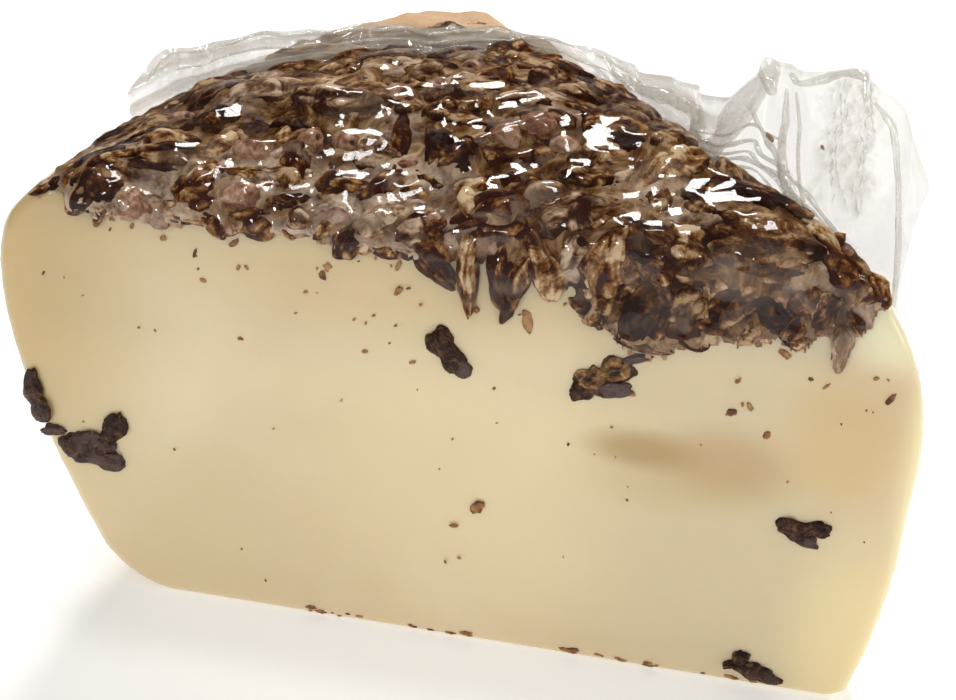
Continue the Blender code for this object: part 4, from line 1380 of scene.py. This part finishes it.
side_line = np.array([1.0, 0.0, 0.0])
up_line = np.array([0.0, -math.cos(DRAPE_TILT), math.sin(DRAPE_TILT)])
back_line = np.array([0.0, math.sin(DRAPE_TILT), math.cos(DRAPE_TILT)])
tree_below, paste_faces = covered_tree([bpy.data.objects[name] for name in DRAPED])
grid_x, grid_v = np.meshgrid(
    np.arange(-0.074, 0.0695, DRAPE_STEP),
    np.arange((DRAPE_LOW - 0.016) * math.cos(DRAPE_TILT), 0.128, DRAPE_STEP),
)
under = np.full(grid_x.shape, np.nan)
marc_there = np.zeros(grid_x.shape)
for cell in np.ndindex(grid_x.shape):
    start = back_line * grid_v[cell] + up_line * FROM_ABOVE
    start[0] = grid_x[cell]
    hit, _, face, _ = tree_below.ray_cast(Vector(start), Vector(-up_line))
    if hit is not None:
        under[cell] = float(np.dot(np.array(hit), up_line))
        marc_there[cell] = face >= paste_faces
held = ~np.isnan(under)
filled = np.where(held, under, 0.0)
spots = on_grid(filled)
marc_there *= 1 - bare_rind(spots[..., 0], spots[..., 1])
thick_there = blurred(marc_there, 0.0007, DRAPE_STEP)
level = blurred(filled * marc_there, PULP_BLUR, DRAPE_STEP)
level /= np.maximum(blurred(marc_there, PULP_BLUR, DRAPE_STEP), 1e-6)
border = np.clip((thick_there - PULP_FROM) / 0.50, 0, 1)
border = border**2 * (3 - 2 * border)
over_face = np.clip((EDGE_HEIGHT - 0.0005 - spots[..., 2]) / 0.003, 0, 1)
sink = PULP_SINK + (PULP_FACE_SINK - PULP_SINK) * over_face
pulp_height = border * (level - sink) + (1 - border) * (np.minimum(level, filled) - PULP_EDGE)
pulp_height += PULP_ROUGH * (unevenness(spots.reshape(-1, 3), 0.0042, 15)
                             + 0.5 * unevenness(spots.reshape(-1, 3), 0.0017, 16)).reshape(level.shape)
hung = (spots[..., 2] < EDGE_HEIGHT - SINGLY_BELOW) & (spots[..., 0] < FRONT_FROM)
pulp_points, pulp_used, pulp_faces = draped(pulp_height, held & (thick_there > PULP_FROM) & ~hung)
creamy = 1 - np.clip((blurred(marc_there, 0.0022, DRAPE_STEP) - 0.60) / 0.36, 0, 1)
creamy = (0.8 - 0.6 * np.clip((spots[..., 0] - 0.012) / 0.004, 0, 1)) * creamy
creamy = creamy * np.clip((0.010 - spots[..., 1]) / 0.004, 0, 1)
for x, y, length, width, most in MILKY:
    away = away_from(spots[..., 0], spots[..., 1], x, y, length, width)
    creamy = np.maximum(creamy, most * np.clip(1.4 - away, 0, 1) * (spots[..., 2] > EDGE_HEIGHT - 0.003))


def pulp_finish():
    """Wet brown pulp, and cream where the value on it says."""
    mat, tree, shader = new_finish("marc_pulp")
    blots = cloudy(tree, 0.0070, 7.0, 0.68, 1.2, (1, 4, 2))
    colour = ramp(tree, blots, (
        (0.40, (0.024, 0.003, 0.001)),
        (0.47, (0.095, 0.033, 0.006)),
        (0.55, (0.250, 0.130, 0.046)),
        (0.67, (0.600, 0.420, 0.260)),
    ))
    patches = spread(tree, cloudy(tree, 0.0030, 6.0, 0.65), 0.36, 0.60, 0.0, 1.2)
    share = spread(tree, reckon(tree, "MULTIPLY", patches, value_on(tree)), 0.0, 0.9)
    fill_in(tree, shader, {
        "Base Color": blend_colours(tree, share, colour, (0.62, 0.47, 0.35)),
        "Specular IOR Level": 0.03,
        "Roughness": spread(tree, blots, 0.3, 0.7, 0.28, 0.5),
        "Normal": relief_of(tree, cloudy(tree, 0.0011), 0.00012),
    })
    return mat


mesh_piece("marc_pulp", pulp_points[pulp_used], pulp_faces, pulp_finish(),
           {"tone": creamy.reshape(-1)[pulp_used]})


# The film over the crust: soft clear bag film drawn down by vacuum. It touches the high skins,
# bridges the hollows between them, and clings to the paste below the crust. Here and there
# small bubbles under it look like frost.

FILM_TIGHTNESS = 0.0095                   # radius that the film can't bend below in a hollow
FACE_TIGHTNESS = 0.0038                   # the same over the face, where it was drawn in harder
FILM_LIFT = 0.00012
# Its wrinkles, large and small: height, pitch, and what they are drawn from
FILM_WRINKLES = ((0.00006, 0.0032, 7), (0.000022, 0.0011, 8))
FILM_LOW = DRAPE_LOW                      # the sheet fades into the paste's own gloss here
FILM_FADE = 0.007
FILM_RIM = 8                              # cells over which its other edges fade
FILM_BARE = 0.3                           # its strength where there is no marc under it
HAZE_FROM, HAZE_STEP = 0.0010, 0.0042     # gap under the film from which it looks milky
LONGEST_REACH = 0.010
FROST_COLOUR = (0.78, 0.76, 0.73)
THIN_COLOUR = (0.05, 0.03, 0.015)
# Frosted patches: x, y, half length, half width in millimetres, strength
FROST = (
    (-45.7, 36.4, 6.5, 2.6, 1.0),
    (-22.8, 48.6, 6.0, 2.2, 1.0),
    (-7.0, 18.6, 2.4, 1.0, 0.9),
    (26.5, 15.0, 4.0, 2.2, 0.6),
    (-39.0, 40.5, 5.0, 1.2, 0.7),
    (-52.0, 20.0, 6.0, 1.0, 0.6),
    (43.0, 1.0, 5.0, 1.2, 0.5),
    (52.0, -0.5, 3.0, 1.4, 0.6),
    (31.0, 9.0, 4.0, 1.2, 0.5),
)


def spread_out(height, bend, step, sign):
    """Grows (sign 1) or shrinks (sign -1) a height field by a bowl of the given bend."""
    reach = int(math.sqrt(2 * bend * LONGEST_REACH) / step)
    for axis in (0, 1):
        best = height.copy()
        for shift in range(1, reach + 1):
            drop = (shift * step) ** 2 / (2 * bend)
            for way in (shift, -shift):
                moved = np.roll(height, way, axis=axis)
                edge = slice(0, shift) if way > 0 else slice(-shift, None)
                blank = -sign * 1.0
                if axis == 0:
                    moved[edge, :] = blank
                else:
                    moved[:, edge] = blank
                best = np.maximum(best, moved - drop) if sign > 0 else np.minimum(best, moved + drop)
        height = best
    return height


pulp_there = held & (thick_there > 0.5) & ~hung
under = np.where(pulp_there, np.fmax(under, pulp_height), under)
filled = np.where(held, under, -1.0)
loose, close = (
    spread_out(spread_out(filled, bend, DRAPE_STEP, 1), bend, DRAPE_STEP, -1)
    for bend in (FILM_TIGHTNESS, FACE_TIGHTNESS)
)
on_top_share = np.clip((grid_v - EDGE_HEIGHT * math.cos(DRAPE_TILT) - 0.001) / 0.006, 0, 1)
film_height = close + (loose - close) * on_top_share
gap = np.where(held, film_height - under, 0.0)
flat_grid = (grid_x[..., None] * side_line + grid_v[..., None] * back_line).reshape(-1, 3)
wrinkle = sum(high * unevenness(flat_grid, pitch, seed) for high, pitch, seed in FILM_WRINKLES)
film_height = film_height + FILM_LIFT + wrinkle.reshape(gap.shape)
flat_spots = draped(film_height, held)[0]
high = flat_spots[:, 2]
inside_wheel = np.hypot(flat_spots[:, 0] - TIP_X, flat_spots[:, 1]) < WHEEL_RADIUS - 0.004
keep = (held.reshape(-1) & inside_wheel & (high > FILM_LOW)).reshape(held.shape)
flat_spots, used, film_faces = draped(film_height, keep)
rim = keep.astype(float)
for _ in range(FILM_RIM):
    inner = np.zeros_like(rim)
    inner[1:-1, 1:-1] = np.minimum.reduce([rim[:-2, 1:-1], rim[2:, 1:-1], rim[1:-1, :-2], rim[1:-1, 2:]])
    rim = np.minimum(rim, inner + 1 / FILM_RIM)
fade = np.clip((high - FILM_LOW) / FILM_FADE, 0, 1) * rim.reshape(-1)
near_marc = np.clip(1.3 * blurred(marc_there, 0.0014, DRAPE_STEP).reshape(-1), 0, 1)
fade *= FILM_BARE + (1 - FILM_BARE) * near_marc
haze = np.clip((gap.reshape(-1) - HAZE_FROM) / HAZE_STEP, 0, 1)
for x, y, length, width, most in FROST:
    away = away_from(flat_spots[:, 0], flat_spots[:, 1], x, y, length, width)
    haze = np.maximum(haze, 2 * most * np.clip(1.35 - away, 0, 1) * (high > EDGE_HEIGHT - 0.004))


def film_finish(name, clear, hazy, milk, thin=THIN_COLOUR, uneven=0.7):
    """Clear soft film: see-through and glossy, and milky where a value on it says."""
    mat, tree, shader = new_finish(name)
    clouds = spread(tree, cloudy(tree, 0.0045, 7.0, 0.75, 0.8), 0.35, 0.7, 1 - uneven, 1 + uneven)
    amount = reckon(tree, "MULTIPLY", value_on(tree, "haze"), clouds)
    shade = blend_colours(tree, spread(tree, amount, 0.0, 0.5), thin, milk)
    cover = reckon(tree, "MULTIPLY", spread(tree, amount, 0.0, 1.0, clear, hazy), value_on(tree, "whole"))
    fill_in(tree, shader, {
        "Base Color": blend_colours(tree, spread(tree, amount, 1.0, 1.8), shade, FROST_COLOUR),
        "Alpha": cover,
        "Roughness": 0.05,
        "IOR": 3.2,
    })
    return mat


tight_film = film_finish("film_on_marc", 0.10, 0.22, (0.30, 0.175, 0.090), (0.03, 0.010, 0.002))
mesh_piece("film_over_crust", flat_spots[used], film_faces, tight_film,
           {"haze": haze[used], "whole": fade[used]})


# The loose fold: where the bag was too large, its two plies stand up from the crust as a
# streaked band across the far corner and a tall flap by the tip, crinkled where it was sealed.

FOLD_LEAN = 0.05
FOLD_FOOT = 0.00018                       # how far above the crust it starts
FOLD_COLUMNS = 560
FOLD_ROWS = 46
LONG_WAVE, SHORT_WAVE = (0.0011, 0.0031), (0.0006, 0.0013)    # height and length of its waves
# Where along the fold the flap, the seal and the pleats begin and end, each over a short way
FLAP_FROM = (0.112, 0.118)
SEAL_FROM, SEAL_TO = (0.137, 0.139), (0.153, 0.150)
PLEATS_FROM, PLEATS_TO = (0.004, 0.007), (0.020, 0.014)
# How far each kind of crease sways the film
STREAK_SWAY, FLAP_SWAY, SEAL_SWAY, PLEAT_SWAY = 0.0018, 0.0036, 0.0022, 0.0014
PLIES = ((5, 0.0004), (6, -0.0005))       # what each is drawn from, and how far out it stands
# Its line over the crust: x, y, and the height of its crest
FOLD_ROUTE = (
    (-0.0655, 0.0375, 0.0740),
    (-0.0630, 0.0405, 0.0785),
    (-0.0600, 0.0435, 0.0805),
    (-0.0530, 0.0490, 0.0810),
    (-0.0400, 0.0525, 0.0830),
    (-0.0270, 0.0560, 0.0840),
    (-0.0120, 0.0580, 0.0845),
    (0.0020, 0.0620, 0.0830),
    (0.0120, 0.0650, 0.0790),
    (0.0216, 0.0568, 0.0795),
    (0.0330, 0.0438, 0.0818),
    (0.0350, 0.0416, 0.0822),
    (0.0372, 0.0392, 0.0885),
    (0.0393, 0.0367, 0.0918),
    (0.0440, 0.0315, 0.0930),
    (0.0480, 0.0270, 0.0935),
    (0.0530, 0.0212, 0.0972),
    (0.0575, 0.0162, 0.0975),
    (0.0613, 0.0120, 0.0940),
    (0.0634, 0.0096, 0.0895),
    (0.0648, 0.0080, 0.0850),
)


def fold_lines(count):
    """Plan line, outward direction, foot and crest of the fold, evenly divided."""
    route = np.array(FOLD_ROUTE)
    walked = np.concatenate([[0.0], np.cumsum(np.hypot(*np.diff(route[:, :2], axis=0).T))])
    way = np.linspace(0, walked[-1], count)
    x, y, crest = (np.interp(way, walked, route[:, i]) for i in range(3))
    for _ in range(count // 6):
        for line in (x, y, crest):
            line[1:-1] = (line[:-2] + 2 * line[1:-1] + line[2:]) / 4
    along = np.stack([np.gradient(x), np.gradient(y)], axis=1)
    along /= np.linalg.norm(along, axis=1)[:, None]
    out = np.stack([-along[:, 1], along[:, 0]], axis=1)
    return way, x, y, out, surface_height(x, y) + FOLD_FOOT, crest


fold_way, fold_x, fold_y, fold_out, fold_foot, fold_crest = fold_lines(FOLD_COLUMNS)


def fold_point(column, rise, sway):
    """A point of the fold from its column, its share of the height, and its sway outwards."""
    x, y = np.interp(column, fold_way, fold_x), np.interp(column, fold_way, fold_y)
    ox, oy = np.interp(column, fold_way, fold_out[:, 0]), np.interp(column, fold_way, fold_out[:, 1])
    foot, crest = np.interp(column, fold_way, fold_foot), np.interp(column, fold_way, fold_crest)
    tall = crest - foot
    wave = LONG_WAVE[0] * np.sin(column / LONG_WAVE[1])
    wave = wave + SHORT_WAVE[0] * np.sin(column / SHORT_WAVE[1] + 2 * rise)
    aside = wave * rise + FOLD_LEAN * tall * rise**2 + sway
    return np.stack([x + ox * aside, y + oy * aside, foot + tall * rise], axis=-1)


def ramp_up(value, start, end):
    """0 below the start, 1 beyond the end; the end may be the lower of the two."""
    return np.clip((value - start) / (end - start), 0, 1)


def film_ply(seed, apart):
    """One ply of the fold: streaked along the band, crumpled on the flap and at its seal."""
    draw = np.random.default_rng(seed)
    column, rise = np.meshgrid(fold_way, np.linspace(0, 1, FOLD_ROWS))
    level = rise * (fold_crest - fold_foot)
    square = np.stack([column, level, np.zeros_like(level)], axis=-1).reshape(-1, 3)

    def folds(stretch, pitch):
        """Creases over the flat film, longer where it is stretched less than 1."""
        return creases(square * stretch, pitch, draw).reshape(column.shape)

    wobble = 0.0016 * unevenness(square, 0.006, seed).reshape(column.shape)
    flap = ramp_up(column, *FLAP_FROM)
    seal = ramp_up(column + wobble, *SEAL_FROM) * ramp_up(column + wobble, *SEAL_TO)
    seal = seal * ramp_up(rise + 40 * wobble, 0.32, 0.40) * ramp_up(rise, 1.0, 0.94)
    pleats = ramp_up(column, *PLEATS_FROM) * ramp_up(column, *PLEATS_TO) * ramp_up(rise, 0.2, 0.5)
    streaks = folds((0.08, 1.0, 1.0), 0.0022)
    large, crinkle = folds((1.0, 0.35, 1.0), 0.0080), folds((1.0, 0.6, 1.0), 0.0013)
    upright = folds((1.0, 0.12, 1.0), 0.0016)
    edges = np.clip(rise * 4, 0, 1) * np.clip((1 - rise) * 6 + 0.3, 0, 1)
    sway = (STREAK_SWAY * streaks * (1 - flap) + FLAP_SWAY * large * flap
            + SEAL_SWAY * crinkle * seal + PLEAT_SWAY * upright * pleats)
    sway = edges * (sway + apart * (1 + 0.5 * np.sin(column / 0.004 + seed)))
    points = fold_point(column, rise, sway)
    i, j = np.meshgrid(np.arange(FOLD_ROWS - 1), np.arange(FOLD_COLUMNS - 1), indexing="ij")
    corner = (i * FOLD_COLUMNS + j).ravel()
    faces = np.stack([corner, corner + 1, corner + FOLD_COLUMNS + 1, corner + FOLD_COLUMNS], axis=1)
    haze = (0.75 + 2.2 * streaks) * (1 - flap) + (0.24 + 0.35 * large) * flap
    haze = haze + seal * (0.30 + 1.2 * crinkle) + pleats * (0.2 + 1.0 * upright) + 0.35 * (rise > 0.96)
    return points.reshape(-1, 3), faces, np.clip(haze, 0, 1).ravel()


plies = Heap()
for seed, apart in PLIES:
    plies.add(*film_ply(seed, apart))
loose_film = film_finish("loose_film", 0.10, 0.52, (0.80, 0.755, 0.655), uneven=0.25)
fold = plies.piece("loose_film_fold", loose_film, "film", "haze", whole=np.ones(plies.count))
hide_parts("film_fold")


# Gathered film: strands in which the fold's film is drawn together, from thin creases to the
# thick one behind the tip, which is twisted like a rope and looped over.

# Each strand: places along the fold in millimetres, shares of its height there, radius
STRANDS = (
    ((106, 109, 110, 108.5, 108, 111, 115, 118, 121.5, 124, 126.5, 129),
     (.78, .80, .66, .52, .40, .36, .52, .72, .90, .97, .94, .80), 1.75),
    ((84, 91, 97, 103, 108, 111), (.78, .76, .78, .80, .70, .52), .95),
    ((130, 134, 140, 146, 151), (.95, .93, .98, .97, .92), .55),
    ((100, 106, 112, 117.5, 125.5, 130.5, 135.5, 143), (.42, .40, .38, .42, .38, .37, .30, .12), .34),
    ((121, 123, 127, 131, 134, 138, 143, 149), (.78, .62, .55, .50, .37, .24, .13, .03), .42),
    ((131.5, 132.5, 132, 134, 138, 143, 149.5), (.90, .72, .55, .37, .24, .13, .02), .70),
    ((133.5, 135, 135.5, 137, 140, 146, 150.5), (.90, .72, .50, .33, .22, .08, .01), .32),
    ((58, 70, 78, 82, 86), (.02, .05, .14, .10, .02), .75),
    ((84, 90, 96, 105, 115, 125, 132, 140), (.12, .40, .36, .30, .25, .22, .26, .15), .34),
    ((90, 97, 105, 115, 125, 134, 142), (.50, .46, .38, .30, .27, .28, .14), .26),
    ((88, 98, 108, 118, 128, 136), (.62, .54, .44, .36, .32, .25), .22),
    ((80, 90, 100, 110), (.85, .88, .84, .78), .24),
    ((151, 155, 158, 160, 161), (.93, .90, .74, .45, .08), .46),
    ((107, 113, 119, 125, 131, 137, 143, 149, 153), (.60, .56, .53, .49, .45, .38, .29, .17, .05), .36),
    ((110, 116, 122, 128, 134, 140, 146, 151), (.50, .47, .44, .41, .36, .29, .19, .06), .26),
    ((109, 114, 119, 126, 133), (.66, .64, .63, .60, .56), .24),
    ((2, 12, 22, 35, 50, 65, 80), (.80, .93, .96, .92, .84, .88, .95), .26),
    ((8, 18, 32, 50, 70, 86), (.55, .66, .62, .52, .50, .62), .20),
    ((22, 36, 52, 68, 82), (.34, .36, .22, .20, .34), .18),
    ((30, 44, 60, 76), (.18, .12, .08, .16), .22),
)
STRAND_SIDES = 8
STRAND_STEPS = 150
STRAND_TWIST = 5 * math.pi
STRAND_RIDGE = 0.28
STRAND_BEHIND = 0.0006                    # how far behind the fold's middle they run


def eased(values):
    """Values between stops, smoothed along the strand."""
    steps = np.interp(np.linspace(0, 1, STRAND_STEPS), np.linspace(0, 1, len(values)), values)
    return np.convolve(np.pad(steps, 9, mode="edge"), np.ones(19) / 19, mode="valid")


strands = Heap()
turns = np.linspace(0, 2 * math.pi, STRAND_SIDES, endpoint=False)
for number, (places, shares, radius) in enumerate(STRANDS):
    column, rise = eased(np.array(places) / 1000), eased(shares)
    path = fold_point(column, rise, 0.0005 * np.sin(column / 0.0021 + number) - STRAND_BEHIND)
    tangent = np.gradient(path, axis=0)
    tangent /= np.maximum(np.linalg.norm(tangent, axis=1), 1e-9)[:, None]
    side = np.cross(tangent, (0.3, 0.4, 0.87))
    side /= np.linalg.norm(side, axis=1)[:, None]
    over = np.cross(tangent, side)
    ends = np.sin(math.pi * np.linspace(0.02, 0.98, STRAND_STEPS)) ** 0.4
    thick = radius / 1000 * ends * (1 + 0.22 * np.sin(column / 0.0011 + number))
    twist = np.linspace(0, STRAND_TWIST, STRAND_STEPS)
    ridge = 1 + STRAND_RIDGE * np.abs(np.cos(1.5 * (turns[None, :] + twist[:, None])))
    rings = path[:, None] + (thick[:, None] * ridge)[..., None] * (
        np.cos(turns)[None, :, None] * side[:, None] + np.sin(turns)[None, :, None] * over[:, None])
    strands.add(rings.reshape(-1, 3), ring_faces(STRAND_STEPS, STRAND_SIDES), 1.0)
strand_film = film_finish("strand_film", 0.05, 0.42, (0.90, 0.87, 0.78), uneven=0.4)
strands.piece("gathered_film", strand_film, "film", "haze", whole=np.ones(strands.count))


# Specks in the fold: two crumbs of brown grape skin that are caught between the plies of the
# flap and show through the film.

# Each: place along the fold, share of its height there, half length, half width
FOLD_SPECKS = ((0.128, 0.57, 0.0010, 0.0006), (0.139, 0.60, 0.0005, 0.0003))
SPECK_THICK = 0.0002
SPECK_TURN = 20
speck_draw = np.random.default_rng(127)
specks = Heap()
for column, rise, length, width in FOLD_SPECKS:
    points, faces, tone = grape_skin(np.array([length, width, SPECK_THICK]), speck_draw, COARSE)
    place = fold_point(column, rise, 0.0)
    out = Vector((float(np.interp(column, fold_way, fold_out[:, 0])),
                  float(np.interp(column, fold_way, fold_out[:, 1])), 0.0))
    specks.add(laid(points, place, out, SPECK_TURN), faces, tone + 0.3)
specks.piece("specks_in_fold", brown_finish, "marc")


# The table and the light: a plain pale sheet lies under the wedge, smooth and matt. Daylight
# comes from windows behind it and at its sides, and a pale room is all round.

FLOOR_RADIUS = 2.5
FLOOR_SIDES = 96
FLOOR_LEVEL = -0.0002
floor_mesh = bpy.data.meshes.new("floor")
turns = np.linspace(0, 2 * math.pi, FLOOR_SIDES, endpoint=False)
floor_ring = [(FLOOR_RADIUS * math.cos(t), FLOOR_RADIUS * math.sin(t), FLOOR_LEVEL) for t in turns]
floor_mesh.from_pydata(floor_ring, [], [tuple(range(FLOOR_SIDES))])
floor = bpy.data.objects.new("floor", floor_mesh)
bpy.context.scene.collection.objects.link(floor)
floor_finish, floor_tree, floor_shader = new_finish("pale_table")
floor_shades = ((0.3, (0.84, 0.84, 0.84)), (0.7, (0.86, 0.86, 0.86)))
fill_in(floor_tree, floor_shader, {
    "Base Color": ramp(floor_tree, cloudy(floor_tree, 0.4), floor_shades),
    "Roughness": 0.7,
    "Emission Color": (1.0, 1.0, 1.0, 1.0),
    "Emission Strength": 0.32,
})
floor_mesh.materials.append(floor_finish)
floor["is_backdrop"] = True

ROOM_IN_FRONT = 0.38                      # how bright the room is
ROOM_BEHIND = 0.07
ROOM_COLOUR = (1.0, 0.97, 0.92, 1.0)
world = bpy.data.worlds.new("room_light")
world.use_nodes = True
room = world.node_tree
way = add_node(room, "ShaderNodeSeparateXYZ", {0: add_node(room, "ShaderNodeTexCoord").outputs["Generated"]})
fill_in(room, room.nodes["Background"], {
    "Strength": spread(room, way.outputs["Y"], -0.5, 0.45, ROOM_IN_FRONT, ROOM_BEHIND),
    "Color": ROOM_COLOUR,
})
bpy.context.scene.world = world


def add_light(name, place, size, strength, aim=(0.0, 0.0, 0.05), tint=(1.0, 1.0, 1.0)):
    """A flat light of a given radiance, aimed at the wedge."""
    lamp = bpy.data.lights.new(name, "AREA")
    lamp.shape = "RECTANGLE"
    lamp.size, lamp.size_y = size
    lamp.energy = strength * math.pi * size[0] * size[1]
    lamp.color = tint
    obj = bpy.data.objects.new(name, lamp)
    obj.location = place
    obj.rotation_euler = (Vector(aim) - Vector(place)).to_track_quat("-Z", "Y").to_euler()
    bpy.context.scene.collection.objects.link(obj)


add_light("back_window", (-0.30, 1.15, 1.25), (0.42, 0.36), 36.0, tint=(1.0, 0.98, 0.95))
add_light("side_window", (1.1, 0.55, 0.75), (0.30, 0.30), 16.0, tint=(1.0, 0.97, 0.9))
add_light("roof_window", (-0.15, 0.25, 1.50), (0.26, 0.20), 26.0)
add_light("front_window", (-0.50, -1.30, 0.85), (0.16, 0.15), 52.0)
add_light("tip_window", (1.30, -0.40, 0.50), (0.34, 0.30), 9.0, tint=(1.0, 0.97, 0.9))
add_light("near_window", (0.75, -1.15, 1.05), (0.12, 0.11), 36.0)


# The camera: it stands close in front, a little to the right of the middle, and looks down.
# Its place, turns and focal length follow from the wedge's outline in the photo.

CAMERA_PLACE = (0.0591, -0.24317, 0.19317)
CAMERA_DOWN = math.radians(29.0)
CAMERA_TURN = math.radians(-12.7)
CAMERA_ROLL = math.radians(1.3)
FOCAL_PIXELS = 1900
PHOTO_WIDTH = 956
SENSOR = 36.0

sight = Vector((math.sin(CAMERA_TURN) * math.cos(CAMERA_DOWN),
                math.cos(CAMERA_TURN) * math.cos(CAMERA_DOWN), -math.sin(CAMERA_DOWN)))
level = Vector((math.cos(CAMERA_TURN), -math.sin(CAMERA_TURN), 0.0))
upright = level.cross(sight)
right = level * math.cos(CAMERA_ROLL) + upright * math.sin(CAMERA_ROLL)
top = upright * math.cos(CAMERA_ROLL) - level * math.sin(CAMERA_ROLL)
camera = bpy.data.objects.new("camera", bpy.data.cameras.new("camera"))
camera.data.sensor_width = SENSOR
camera.data.lens = FOCAL_PIXELS / PHOTO_WIDTH * SENSOR
camera.data.clip_start = 0.01
turned = Matrix((right, top, -sight)).transposed().to_4x4()
camera.matrix_world = Matrix.Translation(Vector(CAMERA_PLACE) + Vector(HOME)) @ turned
bpy.context.scene.collection.objects.link(camera)
bpy.context.scene.camera = camera
bpy.context.scene.view_settings.view_transform = "Standard"

[[list(map(float, corner)) for corner in box] for box in (cad_box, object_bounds())]
